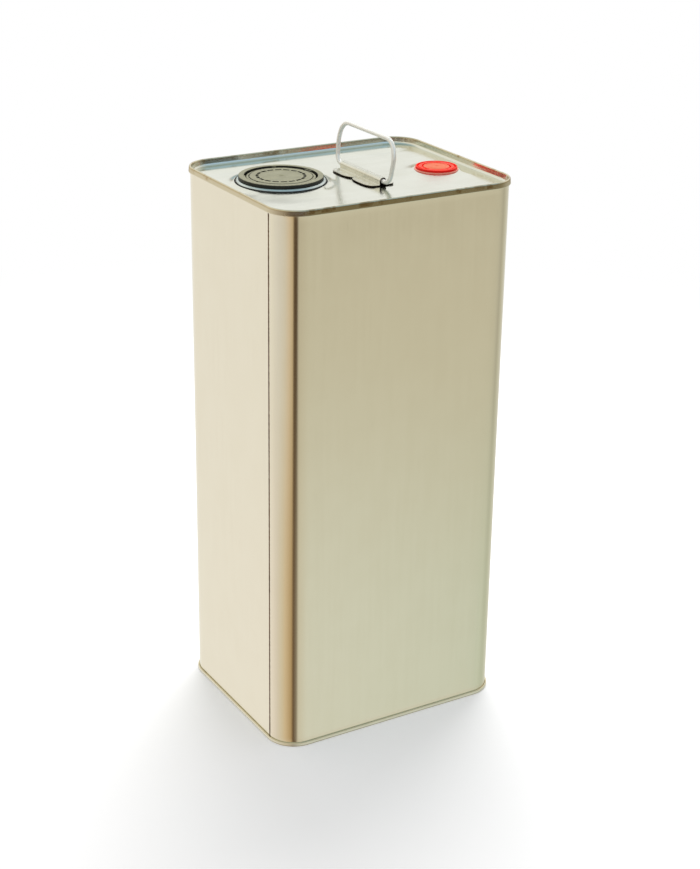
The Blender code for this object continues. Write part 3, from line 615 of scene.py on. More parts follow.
def buildWeldBeads():
    tree, given, made = newShapeTree("weldBeads", {
        "Start": (0, 0, 0), "End": (0, 0, 1), "Pitch": 0.001, "Bead size": (1, 1, 1), "Turn": 0.0, "Seed": 5,
    })
    ends = {0: given["Start"], 1: given["End"]}
    reach = addNode(tree, "ShaderNodeVectorMath", ends, operation="DISTANCE").outputs["Value"]
    line = result(tree, "GeometryNodeMeshLine", {
        "Count": calc(tree, "ROUND", calc(tree, "DIVIDE", reach, given["Pitch"])),
        "Start Location": given["Start"], "Offset": given["End"],
    }, mode="END_POINTS")
    bead = result(tree, "GeometryNodeMeshUVSphere", {"Segments": 10, "Rings": 6, "Radius": 1.0})
    low, high = (vectorCalc(tree, "MULTIPLY", given["Bead size"], (share,) * 3) for share in (0.85, 1.15))
    size = result(tree, "FunctionNodeRandomValue", {0: low, 1: high, "Seed": given["Seed"]}, data_type="FLOAT_VECTOR")
    facing = result(tree, "ShaderNodeCombineXYZ", {"Z": given["Turn"]})
    beads = result(tree, "GeometryNodeInstanceOnPoints", {
        "Points": line, "Instance": bead, "Rotation": facing, "Scale": size,
    })
    return finishShape(tree, given, made, beads)


def buildGripRibs():
    tree, given, made = newShapeTree("gripRibs", {
        "Count": 48, "Radius": 0.02, "Rib radius": 0.0003, "Rib length": 0.007, "Height": 0.0,
    })
    ringOfPoints = result(tree, "GeometryNodeMeshCircle", {"Vertices": given["Count"], "Radius": given["Radius"]})
    rib = result(tree, "GeometryNodeMeshCylinder", {
        "Vertices": 8, "Side Segments": 1, "Radius": given["Rib radius"], "Depth": given["Rib length"],
    })
    ribs = result(tree, "GeometryNodeInstanceOnPoints", {"Points": ringOfPoints, "Instance": rib})
    lift = result(tree, "ShaderNodeCombineXYZ", {"Z": given["Height"]})
    return finishShape(tree, given, made, result(tree, "GeometryNodeTransform", {"Geometry": ribs, "Translation": lift}))


canSweep = buildCanSweep()
weldBeads = buildWeldBeads()
gripRibs = buildGripRibs()


def runTree(tree, values, source=None):  # the tree's result as a bmesh
    source = source or bpy.data.objects.new("source", bpy.data.meshes.new("source"))
    scene.collection.objects.link(source)
    modifier = source.modifiers.new(tree.name, "NODES")
    modifier.node_group = tree
    sockets = {item.name: item.identifier for item in tree.interface.items_tree if item.in_out == "INPUT"}
    for label, value in values.items():
        modifier[sockets[label]] = value
    depsgraph = bpy.context.evaluated_depsgraph_get()
    mesh = bpy.data.meshes.new_from_object(source.evaluated_get(depsgraph), depsgraph=depsgraph)
    bpy.data.objects.remove(source)
    bm = bmesh.new()
    bm.from_mesh(mesh)
    bpy.data.meshes.remove(mesh)
    bmesh.ops.remove_doubles(bm, verts=bm.verts, dist=mergeGap)
    return bm


def sectionCurve(points, cyclic):  # points are (inset from the can's face, height)
    curve = bpy.data.curves.new("section", "CURVE")
    curve.dimensions = "3D"
    spline = curve.splines.new("POLY")
    spline.points.add(len(points) - 1)
    for target, (inset, height) in zip(spline.points, points):
        target.co = (-inset, -height, 0, 1)
    spline.use_cyclic_u = cyclic
    return bpy.data.objects.new("section", curve)


def sweepRoundCan(points, cyclic, material, values):
    return runTree(canSweep, {
        "Width": can["width"], "Depth": can["depth"], "Corner radius": can["cornerRadius"],
        "Corner steps": can["cornerSteps"], "Material": material, **values,
    }, sectionCurve(points, cyclic))


# Can wall with its folded edges

wall = {"Side cuts": 16, "Wave height": 0.22 * mm, "Wave size": 75 * mm, "Bulge": 0.12 * mm, "Fade": 28 * mm}
wallRow = 6 * mm
waveLow, waveHigh = 2 * can["seamHeight"], can["height"] - 2 * can["seamHeight"]


def seamLayer(layer):  # the middle of a seam's sheet layer, in from the seam's face
    return can["sheet"] / 2 + layer * can["layerPitch"]


def wallSection():
    hook, face, fold = seamLayer(1), seamLayer(3), can["layerPitch"] * can["foldShare"]
    tip, footTip = (can[height] - can["layerPitch"] for height in ("seamHeight", "footSeamHeight"))
    top = can["height"]
    rows = round((top - 4 * can["seamHeight"]) / wallRow)
    return sheetOutline(roundedPoints((
        (hook, top - tip, 0), (hook, top - seamLayer(2), fold), (face, top - seamLayer(2), fold),
        *((face, waveHigh - (waveHigh - waveLow) * row / rows, 0) for row in range(rows + 1)),
        (face, seamLayer(2), fold), (hook, seamLayer(2), fold), (hook, footTip, 0),
    ), 4), can["sheet"])


wallMesh = sweepRoundCan(wallSection(), True, wallTin, {**wall, "Wave low": waveLow, "Wave high": waveHigh})
addPiece("canWall", wallMesh, [wallTin], "can", "body_wall")

# Side weld: overlapping flat beads down the first part of the near corner

weld = {"angle": radians(183.0), "width": 1.6 * mm, "proud": 0.12 * mm, "pitch": 0.75 * mm, "beadLength": 1.3 * mm}
weldRadius = can["cornerRadius"] - seamLayer(3) + can["sheet"] / 2
weldX = can["cornerRadius"] - can["width"] / 2 + weldRadius * cos(weld["angle"])
weldY = can["cornerRadius"] - can["depth"] / 2 + weldRadius * sin(weld["angle"])
beads = runTree(weldBeads, {
    "Start": (weldX, weldY, can["footSeamHeight"] + can["layerPitch"]),
    "End": (weldX, weldY, can["height"] - (can["seamHeight"] + can["layerPitch"])),
    "Bead size": (weld["proud"], weld["width"] / 2, weld["beadLength"] / 2),
    "Pitch": weld["pitch"], "Turn": weld["angle"], "Material": weldTint,
})
addPiece("sideWeld", beads, [weldTint], "can", smoothAngle=80)
print("wall and weld done")

# Ends: rolled seam, chuck wall and panel

endSweep = {
    "Side cuts": 40, "Wave height": 0.015 * mm, "Wave size": 30 * mm, "Fade": 6 * mm, "Wave low": -1.0, "Wave high": 1.0,
}
ends = {
    "bow": 0.045 * mm, "proudest": 3.0,
    "beadInset": 15 * mm, "beadWidth": 3.2 * mm, "beadRise": 0.7 * mm, "beadSteps": 10, "hookGap": 0.1 * mm,
}


def bowed(points):  # a rolled seam's outer layers lean in towards its top
    leaning = []
    for inset, depth in points:
        fromMiddle = min(1.0, 2 * depth / can["seamHeight"] - 1)
        share = max(0.0, 1 - inset / seamLayer(3))
        lean = (fromMiddle - ends["proudest"]) ** 2 - (1 - ends["proudest"]) ** 2
        leaning.append((inset + ends["bow"] * share * lean, depth))
    return leaning


def endSection(beadRise, seamHeight):  # middle line of an end's sheet as (inset, depth below the rim), panel first
    half, steps = can["sheet"] / 2, ends["beadSteps"]
    face, hook, chuck = seamLayer(0), seamLayer(2), seamLayer(4)
    fold = (hook - face) * can["foldShare"] / 2
    foot = seamHeight - half
    panelDepth = can["panelRecess"] + half
    rimEnd = chuck + can["panelRim"]
    inner = [(rimEnd + 1.5 * mm, panelDepth, 0)]
    if beadRise:
        beadEnd = ends["beadInset"] + ends["beadWidth"]
        inner = [(beadEnd + 1 * mm, panelDepth, 0)]
        for step in range(steps + 1):
            rise = beadRise * sin(pi * step / steps) ** 2
            inner.append((beadEnd - ends["beadWidth"] * step / steps, panelDepth - rise, 0))
    return roundedPoints((
        *inner, (rimEnd, panelDepth, 0), (chuck + can["chuckLean"], panelDepth, can["panelBend"]),
        (chuck, half, can["rollRadius"]), (face, half, can["rollRadius"]),
        *((face, seamHeight * share, 0) for share in (0.3, 0.5, 0.7)),
        (face, foot, fold), (hook, foot, fold), (hook, hook + half + ends["hookGap"], 0),
    ), 8)


def fillPanels(bm):  # close both faces of the panel, between its border and the necks
    border = [edge for edge in bm.edges if edge.is_boundary]
    for height in sorted({round(edge.verts[0].co.z, 6) for edge in border}):
        level = [edge for edge in border if edge.is_valid and abs(edge.verts[0].co.z - height) < can["sheet"] / 3]
        bmesh.ops.triangle_fill(bm, use_beauty=True, edges=level)


spoutDome = {
    "foot": 31.9, "widest": 248, "fullSpread": 22, "fadeSpread": 46, "least": 0.36, "room": 38.9, "roomSide": -1,
    "steps": 96, "sheet": 0.3,
    "rise": (
        (52, 0), (50.5, 0), (49, 0.012), (47, 0.045), (45.5, 0.09), (44, 0.157), (42, 0.28), (40, 0.455), (38, 0.685),
        (36, 0.99), (35, 1.15), (33.8, 1.35), (32.7, 1.5),
    ),
    "neck": (
        (31.9, 1.5), (31.4, 1.0), (30.6, 0.3), (29.8, 0), (26.8, 0), (26.8, 0.85), (28.4, 0.85), (28.4, 1.15),
        (26.5, 1.15), (26.5, -0.3), (29.8, -0.3), (30.8, 0), (31.5, 0.6), (31.9, 1.1),
    ),
}
ventDome = {
    "foot": 15.9, "widest": 239, "fullSpread": 70, "fadeSpread": 60, "least": 0.6, "room": 19.8, "roomSide": 1,
    "steps": 72, "sheet": 0.3,
    "rise": (
        (31.5, 0), (30, 0), (28.5, 0.012), (27, 0.04), (25.5, 0.09), (24, 0.16), (22, 0.29), (20, 0.47), (18.5, 0.68),
        (17.5, 0.85), (16.6, 0.98), (15.9, 1.02), (15.3, 0.95), (14.5, 0.8),
    ),
    "neck": ((12.3, 0.8), (11.8, 0.65), (11.5, 0.2), (11.5, -1.2), (11.8, -1.2), (11.8, 0.1), (12.2, 0.5)),
}


def domeRadius(dome, radius, angle):  # a neck's dome spreads further on one side, and stops at the panel's border
    foot, full = dome["foot"], dome["fullSpread"]
    if radius <= foot:
        return radius * mm
    faded = ease(apart(angle, dome["widest"]), radians(full), radians(full + dome["fadeSpread"]))
    room = dome["room"] / max(0.01, dome["roomSide"] * cos(angle))
    share = min(1 - (1 - dome["least"]) * faded, (room - foot) / (dome["rise"][0][0] - foot))
    return (foot + (radius - foot) * share) * mm


def addNeck(bm, dome, middle):
    rings = []
    for r, z in (*dome["rise"], *dome["neck"], *((r, z - dome["sheet"]) for r, z in dome["rise"][::-1])):
        ring = []
        for angle in anglesOf(dome["steps"]):
            radius = domeRadius(dome, r, angle)
            ring.append((middle.x + radius * cos(angle), middle.y + radius * sin(angle), panelTop + z * mm))
        rings.append(ring)
    addRings(bm, rings)


def endMesh(outline, level, material):
    return sweepRoundCan([(inset, level(depth)) for inset, depth in outline], False, material, endSweep)


lidOutline = bowed(sheetOutline(endSection(0.0, can["seamHeight"]), can["sheet"]))
lidMesh = endMesh(lidOutline, lambda depth: can["height"] - depth, lidTin)
addNeck(lidMesh, spoutDome, spoutPlace.translation)
addNeck(lidMesh, ventDome, ventPlace.translation)
fillPanels(lidMesh)
addPiece("lid", lidMesh, [lidTin], "can", "top_end")

bottomOutline = sheetOutline(endSection(ends["beadRise"], can["footSeamHeight"]), can["sheet"])
bottomMesh = endMesh(bottomOutline, lambda depth: depth, bottomTin)
fillPanels(bottomMesh)
addPiece("canBottom", bottomMesh, [bottomTin], "can", "bottom_end")
print("ends done")

# Crimp ring that holds the pouring closure, and the lip of the gasket under it

crimp = {
    "sheet": 0.4, "hookTip": 27.1, "hook": 29.6, "shoulder": 31.1, "lipTip": 28.0, "bottom": 0.5, "middle": 1.5,
    "top": 2.8, "steps": 144,
}
crimpPath = drawn(crimp, (
    ("hookTip", "bottom", 0), ("hook", "bottom", 0.6), ("shoulder", "middle", 0.7), ("hook", "top", 0.6),
    ("lipTip", "top", 0),
), 10)
crimpMesh = lathe(sheetOutline(crimpPath, crimp["sheet"]), crimp["steps"])
addPiece("crimpRing", crimpMesh, [skyTintedRing], "can", "spout_crimp_ring", spoutPlace)

lip = {"radius": 31.2, "height": 1.6, "thick": 0.5, "sides": 16, "steps": 144}
lipOutline = [
    (lip["radius"] + lip["thick"] * cos(angle), lip["height"] + lip["thick"] * sin(angle))
    for angle in anglesOf(lip["sides"])
]
addPiece("gasketLip", lathe(lipOutline, lip["steps"]), [sealRubber], "can", place=spoutPlace)

# Collar: fixed outer ring of the closure, with lugs in its channel

collar = {
    "inner": 25.2, "skirt": 26.2, "foot": -2.0, "flange": 28.6, "flangeLow": 1.95, "flangeTop": 2.45, "groove": 27.7,
    "plate": 29.1, "plateBottom": 3.15, "top": 5.5, "steps": 720,
    "lugs": ((357, 18), (145, 20), (57, 7), (230, 7)),  # middle and spread, in degrees
    "lugReach": 0.9, "lugLow": 3.1, "lugHigh": 4.9, "lugSoft": 0.8,
}
lugEnd = collar["inner"] - collar["lugReach"]
collarOutline = drawn(collar, (
    ("inner", "foot", 0.15), ("skirt", "foot", 0.15), ("skirt", "flangeLow", 0), ("flange", "flangeLow", 0.1),
    ("flange", "flangeTop", 0.1), ("groove", "flangeTop", 0), ("groove", "plateBottom", 0), ("plate", "plateBottom", 0.2),
    ("plate", "top", 0.6), ("inner", "top", 0.2), ("inner", "lugHigh", 0.1), (lugEnd, "lugHigh", 0.15),
    (lugEnd, "lugLow", 0.15), ("inner", "lugLow", 0.1),
), closed=True)


def lugMask(angle, middle, spread):
    half = radians(spread) / 2
    return 1 - ease(apart(angle, middle), half - radians(collar["lugSoft"]), half)


def collarAt(angle):
    inner, reach = collar["inner"], max(lugMask(angle, *lug) for lug in collar["lugs"])
    return [(inner - (inner - r) * reach if r < inner else r, z) for r, z in collarOutline]


collarMesh = lathe(collarAt, collar["steps"])
addPiece("collar", collarMesh, [blackPlastic], "can", "spout_collar", spoutPlace)

# Screw cap with slots round its disc, and ribs on its skirt

cap = {
    "top": 4.9, "under": 3.8, "disc": 21.6, "shelf": 24.0, "shelfTop": 3.1, "shelfBottom": 2.1, "skirt": 22.1,
    "skirtEnd": -8.0, "bore": 20.8, "slots": 18, "slotTurn": 2.5, "slotRadius": 16.3, "slotWidth": 2.0, "slotDepth": 0.95,
    "slotFill": 0.76, "slotSoft": 0.35, "slotLip": 0.06, "gateRadius": 1.5, "gateDepth": 0.25, "panelEdge": 14.2,
    "panelDrop": 0.12, "ribs": 60, "ribRadius": 0.3, "ribsAboveEnd": 0.6, "ribsUnderShelf": 0.1, "steps": 720,
}
slotInner, slotOuter = cap["slotRadius"] - cap["slotWidth"] / 2, cap["slotRadius"] + cap["slotWidth"] / 2
capPanel = cap["top"] - cap["panelDrop"]
capTop = [
    (0, capPanel - cap["gateDepth"]), (cap["gateRadius"] - 0.3, capPanel - cap["gateDepth"]),
    *((r, capPanel) for r in (cap["gateRadius"], 6, 11, cap["panelEdge"])),
    (cap["panelEdge"] + 0.15, capPanel + 0.05), (cap["panelEdge"] + 0.3, cap["top"]),
    *((edge + side * cap["slotLip"], cap["top"]) for edge in (slotInner, slotOuter) for side in (-1, 0, 1)),
]
capSide = drawn(cap, (
    (18.4, "top", 0), ("disc", "top", 0.35), ("disc", "shelfTop", 0.12), ("shelf", "shelfTop", 0.25),
    ("shelf", "shelfBottom", 0.2), ("skirt", "shelfBottom", 0.2), ("skirt", "skirtEnd", 0.3), ("bore", "skirtEnd", 0.2),
    ("bore", "under", 0.3), (0, "under", 0),
))


def slotMask(angle):
    pitch, soft = tau / cap["slots"], radians(cap["slotSoft"])
    away = abs((angle - radians(cap["slotTurn"])) % pitch - pitch / 2)
    half = pitch * cap["slotFill"] / 2
    return 1 - ease(away, half - soft, half + soft)


def capAt(angle):
    drop = cap["slotDepth"] * slotMask(angle)
    return [(r, z - drop if slotInner < r < slotOuter else z) for r, z in capTop] + capSide


capMesh = lathe(capAt, cap["steps"], closed=False)
addPiece("cap", capMesh, [capPlastic], "cap", "spout_cap", spoutPlace)

ribLow, ribHigh = cap["skirtEnd"] + cap["ribsAboveEnd"], cap["shelfBottom"] - cap["ribsUnderShelf"]
ribs = runTree(gripRibs, {
    "Count": cap["ribs"], "Radius": cap["skirt"] * mm, "Rib radius": cap["ribRadius"] * mm,
    "Rib length": (ribHigh - ribLow) * mm, "Height": (ribHigh + ribLow) / 2 * mm, "Material": blackPlastic,
})
addPiece("capRibs", ribs, [blackPlastic], "cap", place=spoutPlace)

# Half-ring pulls on the cap

bail = {
    "inner": 22.0, "outer": 23.8, "low": 3.5, "high": 4.85, "slope": 0.5, "hinge": 1.2, "pastHinge": 0.5, "pin": 0.4,
    "pinLength": 0.9, "pinRoot": 0.6, "pinSides": 14, "steps": 96,
}
bailSection = drawn(bail, (
    ("inner", "low", 0.2), ("outer", "low", 0.2),
    ("outer", bail["high"] - bail["slope"], 0.35), ("inner", "high", 0.3),
), closed=True)


def addPin(bm, start, end):
    turn, radius = (end - start).to_track_quat("Z", "Y"), bail["pin"] * mm
    offsets = [turn @ Vector((radius * cos(a), radius * sin(a), 0)) for a in anglesOf(bail["pinSides"])]
    addRings(bm, [[point + offset for offset in offsets] for point in (start, end)], ends=True)


def bailMesh(side):
    rings = []
    for step in range(bail["steps"] + 1):
        ring = []
        for r, z in bailSection:
            first = asin((bail["hinge"] - bail["pastHinge"]) / r)
            angle = side * (first + (pi - 2 * first) * step / bail["steps"])
            ring.append((r * cos(angle) * mm, r * sin(angle) * mm, z * mm))
        rings.append(ring)
    bm = addRings(bmesh.new(), rings, ends=True)
    for end in (-1, 1):
        y, z = side * bail["hinge"], (bail["low"] + bail["high"]) / 2
        root, tip = end * (bail["inner"] + bail["pinRoot"]), end * (bail["inner"] - bail["pinLength"])
        addPin(bm, Vector((root, y, z)) * mm, Vector((tip, y, z)) * mm)
    return bm


addPiece("frontBail", bailMesh(-1), [blackPlastic], "front_bail", "bail_front", spoutPlace)
addPiece("backBail", bailMesh(1), [blackPlastic], "back_bail", "bail_back", spoutPlace)

# Threaded pouring sleeve, and the folded web that ties it to the collar

sleeve = {
    "bore": 18.3, "outer": 19.8, "top": 2.7, "bottom": -20.0, "foot": 22.3, "footTop": -19.0, "thread": 0.7,
    "threadHalf": 0.75, "pitch": 3.0, "turns": 1.5, "taper": 0.08, "belowTop": 2.2, "rowsFrom": -6.8, "rowsSpan": 8.5,
    "row": 0.2, "steps": 144,
}
sleeveBody = drawn(sleeve, (
    ("outer", sleeve["top"] - 0.6, 0), ("outer", "top", 0.3), ("bore", "top", 0.3), ("bore", "bottom", 0.3),
    ("foot", "bottom", 0.2), ("foot", "footTop", 0.2), ("outer", "footTop", 0.3), ("outer", sleeve["footTop"] + 2, 0),
), 4)


def threadAt(angle, height):
    reach, half, last = 0.0, sleeve["threadHalf"], sleeve["turns"]
    for lap in (0, 1):
        turns = angle / tau + lap
        if turns <= last:
            taper = ease(turns, 0, sleeve["taper"]) * (1 - ease(turns, last - sleeve["taper"], last))
            away = abs(height - (sleeve["top"] - sleeve["belowTop"] - sleeve["pitch"] * turns))
            reach = max(reach, taper * (1 - ease(away, half * 0.35, half)))
    return sleeve["outer"] + sleeve["thread"] * reach


def sleeveAt(angle):
    heights = [sleeve["rowsFrom"] + sleeve["row"] * row for row in range(round(sleeve["rowsSpan"] / sleeve["row"]))]
    return sleeveBody + [(threadAt(angle, height), height) for height in heights]


sleeveMesh = lathe(sleeveAt, sleeve["steps"])
addPiece("pouringSleeve", sleeveMesh, [blackPlastic], "spout", "spout_sleeve", spoutPlace)

web = {
    "start": (25.7, -2.45), "end": (23.0, -19.4), "thickness": 0.8, "ripples": 3, "rippleHeight": 0.18, "rows": 48,
    "steps": 96,
}


def webPath():
    start, end = Vector(web["start"]), Vector(web["end"])
    side = (end - start).normalized().orthogonal()
    shares = [row / web["rows"] for row in range(web["rows"] + 1)]
    return [
        start.lerp(end, share) + side * web["rippleHeight"] * sin(tau * web["ripples"] * share) * sin(pi * share)
        for share in shares
    ]


webMesh = lathe(sheetOutline(webPath(), web["thickness"]), web["steps"])
webPiece = addPiece("foldedWeb", webMesh, [webPlastic], None, "spout_web", spoutPlace)
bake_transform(webPiece)
print("pouring closure done")

# Vent: seat in the lid, plug, and the ring that lifts it

vent = {
    "bore": 9.8, "stem": 11.2, "flange": 15.5, "seatLow": 0.85, "seatTop": 1.65, "seatFoot": -4.0, "barb": 12.1,
    "plug": 14.7, "plugBottom": 1.7, "floor": 2.0, "rim": 13.7, "rimTop": 3.2, "disc": 3.0, "discRadius": 9.2,
    "plugFoot": -3.5, "hollow": 8.6, "hollowTop": 1.2, "steps": 120,
}
seatOutline = drawn(vent, (
    ("bore", "seatFoot", 0.1), (vent["stem"] - 0.3, "seatFoot", 0.1), ("barb", -2.6, 0.1), ("barb", -1.5, 0.1),
    ("stem", -1.5, 0.05), ("stem", "seatLow", 0.1), ("flange", "seatLow", 0.12), ("flange", vent["seatTop"] - 0.25, 0.2),
    (15.1, "seatTop", 0.2), ("bore", "seatTop", 0.15),
), closed=True)
seatMesh = lathe(seatOutline, vent["steps"])
addPiece("ventSeat", seatMesh, [redSeatPlastic], "can", "vent_seat", ventPlace)

plugOutline = drawn(vent, (
    (0, vent["disc"] - 0.3, 0), (1.0, vent["disc"] - 0.3, 0.2), (1.4, "disc", 0.2), (6.6, "disc", 0.15),
    (6.9, vent["disc"] - 0.18, 0.1), (7.5, vent["disc"] - 0.18, 0.1), (7.8, "disc", 0.15), ("discRadius", "disc", 0.3),
    ("discRadius", "floor", 0.15), ("rim", "floor", 0.15), ("rim", "rimTop", 0.25), ("plug", "rimTop", 0.4),
    ("plug", "plugBottom", 0.3), (9.5, "plugBottom", 0.1), (9.5, "plugFoot", 0.2), ("hollow", "plugFoot", 0.1),
    ("hollow", "hollowTop", 0.2), (0, "hollowTop", 0),
))
plugMesh = lathe(plugOutline, vent["steps"], closed=False)
for face in plugMesh.faces:
    spot = face.calc_center_median()
    if Vector(spot.xy).length < (vent["discRadius"] - 0.1) * mm and spot.z > vent["floor"] * mm:
        face.material_index = 1
addPiece("ventPlug", plugMesh, [redPlastic, paleDiscPlastic], "vent", "vent_plug", ventPlace)

pull = {
    "inner": 10.2, "outer": 12.7, "low": 2.1, "high": 3.05, "tabReach": 0.75, "tabSpread": 38, "notch": 0.35,
    "notchSpread": (2, 7), "steps": 240,
}
pullCorners = (("inner", "low", 0.2), ("outer", "low", 0.2), ("outer", "high", 0.3), ("inner", "high", 0.3))
pullSection = drawn(pull, pullCorners, closed=True)


def pullRingAt(angle):
    away, spread = apart(angle, 0), pull["tabSpread"]
    reach = pull["tabReach"] * (1 - ease(away, radians(spread * 0.3), radians(spread * 0.5)))
    fold = pull["notch"] * (1 - ease(abs(away - pi), *(radians(degrees) for degrees in pull["notchSpread"])))
    middle, level = (pull["inner"] + pull["outer"]) / 2, (pull["low"] + pull["high"]) / 2
    return [(r - reach if r < middle else r, z - fold if z > level else z) for r, z in pullSection]


pullMesh = lathe(pullRingAt, pull["steps"])
addPiece("pullRing", pullMesh, [redRingPlastic], "vent_ring", "vent_pull_ring", ventPlace)
print("vent done")

# Hinge plate: lobed sheet with a half-round ridge over the wire

plate = {
    "sheet": 0.5, "halfLength": 26.6, "lobe": 11.4, "notch": 6.0, "power": 2.6, "axisHeight": 3.4, "flange": 0.55,
    "ridge": 2.3, "foot": 0.6, "rows": 132, "endRows": 0.35, "across": 14, "arc": 20, "curl": 0.28, "curlWidth": 1.8,
    "dimples": ((7.2, 9.5), (7.2, 17.5)), "dimpleRadius": 1.5, "dimpleDepth": 0.22, "bevel": 0.09,
}
plateLow = plate["flange"] - plate["axisHeight"]


def lobeHalfWidth(along):
    share = abs(along) / plate["halfLength"]
    bulge = max(0.0, 1 - abs(2 * share - 1) ** plate["power"]) ** (1 / plate["power"])
    return plate["notch"] + (plate["lobe"] - plate["notch"]) * bulge


def plateHeight(across, along, fromEdge):
    lift = plate["curl"] * (1 - ease(fromEdge, 0, plate["curlWidth"]))
    for x, y in plate["dimples"]:
        away = sqrt((abs(across) - x) ** 2 + (abs(along) - y) ** 2)
        lift -= plate["dimpleDepth"] * (1 - ease(away, plate["dimpleRadius"] * 0.3, plate["dimpleRadius"]))
    return plateLow + lift


def plateSection(along):
    ridge, foot = plate["ridge"], plate["foot"]
    half, root = lobeHalfWidth(along), ridge + foot
    side = []
    for step in range(plate["across"]):
        x = half + (root - half) * step / plate["across"]
        side.append((x, plateHeight(x, along, min(half - x, plate["halfLength"] - abs(along) + 1.0))))
    side += roundedPoints(((root, plateLow, 0), (ridge, plateLow, foot), (ridge, 0, 0)), 4)
    angles = [pi * step / plate["arc"] for step in range(1, plate["arc"])]
    return side + [(ridge * cos(angle), ridge * sin(angle)) for angle in angles] + [(-x, z) for x, z in side[::-1]]


def addPlate():
    rings = []
    for row in range(plate["rows"] + 1):
        share, reach, close = row / plate["rows"], plate["halfLength"], plate["endRows"]
        along = reach * -cos(pi * share) * close + reach * (2 * share - 1) * (1 - close)
        rings.append([(x * mm, along * mm, z * mm) for x, z in plateSection(along)])
    bm = addRings(bmesh.new(), rings, around=False)
    bmesh.ops.recalc_face_normals(bm, faces=bm.faces)
    if sum(face.normal.z for face in bm.faces) < 0:
        bmesh.ops.reverse_faces(bm, faces=bm.faces)
    bmesh.ops.transform(bm, matrix=handlePlace, verts=bm.verts)
    piece = meshObject("handlePlate", bm, [plateTin, plateEdgeShade])
    sheet = piece.modifiers.new("sheet", "SOLIDIFY")
    sheet.thickness = plate["sheet"] * mm
    sheet.offset = 0
    # the underside and the cut edges take the dark painted-shade material
    sheet.material_offset = 1
    sheet.material_offset_rim = 1
    soft = piece.modifiers.new("softEdges", "BEVEL")
    soft.width = plate["bevel"] * mm
    soft.segments = 2
    soft.angle_limit = radians(60)
    soft.harden_normals = False
    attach(piece, "can")
    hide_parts("handle_plate")


addPlate()

# Wire handle, both ends inside the ridge

wire = {
    "radius": 1.55, "endGap": 1.0, "lean": radians(7), "sides": 24,
    "corners": ((35.0, 0, 6.5), (36.7, 17.0, 20), (32.9, 29.0, 10.7)),
}


def wireMesh():
    half = [(wire["endGap"] / 2, 0, 0), *wire["corners"]]
    across = Vector((cos(wire["lean"]), 0, -sin(wire["lean"])))
    rise = Vector((sin(wire["lean"]), 0, cos(wire["lean"])))
    spots = [Vector((0, x, 0)) + rise * z for x, z in roundedPoints(half + [(-x, z, r) for x, z, r in half[::-1]], 16)]
    rings = []
    for index, spot in enumerate(spots):
        come = spot - spots[index - 1] if index else spots[1] - spot
        go = spots[index + 1] - spot if index < len(spots) - 1 else come
        along = (come.normalized() + go.normalized()).normalized()
        outward = across.cross(along).normalized()
        stretch = 1 / max(0.5, along.dot(go.normalized()))
        rings.append([
            (spot + wire["radius"] * (across * cos(angle) + outward * sin(angle) * stretch)) * mm
            for angle in anglesOf(wire["sides"])
        ])
    return addRings(bmesh.new(), rings, ends=True)


addPiece("wireHandle", wireMesh(), [wireSteel], "handle", "handle_wire", handlePlace, smoothAngle=60)
print("handle done")

# Floor, light and surroundings

stageValues = {"floorRadius": 6.0, "fadeStart": 0.45, "fadeEnd": 1.1, "paleGlow": 0.20, "floorColour": (0.90, 0.90, 0.90)}


def buildFloor():
    material = bpy.data.materials.new("paleFloor")
    material.use_nodes = True
    tree = material.node_tree
    tree.nodes.clear()
    bm = bmesh.new()
    bmesh.ops.create_circle(bm, cap_ends=True, segments=96, radius=stageValues["floorRadius"])
    floor = meshObject("floor", bm, [material])
    away = addNode(tree, "ShaderNodeVectorMath", {0: objectSpot(tree)}, operation="LENGTH").outputs["Value"]
    far = remap(tree, away, stageValues["fadeStart"], stageValues["fadeEnd"])
    seen = addNode(tree, "ShaderNodeLightPath").outputs["Is Camera Ray"]
    diffuse = result(tree, "ShaderNodeBsdfDiffuse", {"Color": rgb(*stageValues["floorColour"])})
    glow = result(tree, "ShaderNodeEmission", {"Strength": times(tree, seen, stageValues["paleGlow"])})
    near = result(tree, "ShaderNodeAddShader", {0: diffuse, 1: glow})
    white = result(tree, "ShaderNodeEmission", {"Strength": 1.0})
    mixed = result(tree, "ShaderNodeMixShader", {0: times(tree, far, seen), 1: near, 2: white})
    addNode(tree, "ShaderNodeOutputMaterial", {"Surface": mixed})
    floor.visible_glossy = False


buildFloor()

# Surroundings that the metal shows, by compass direction in degrees from +X, then their colour

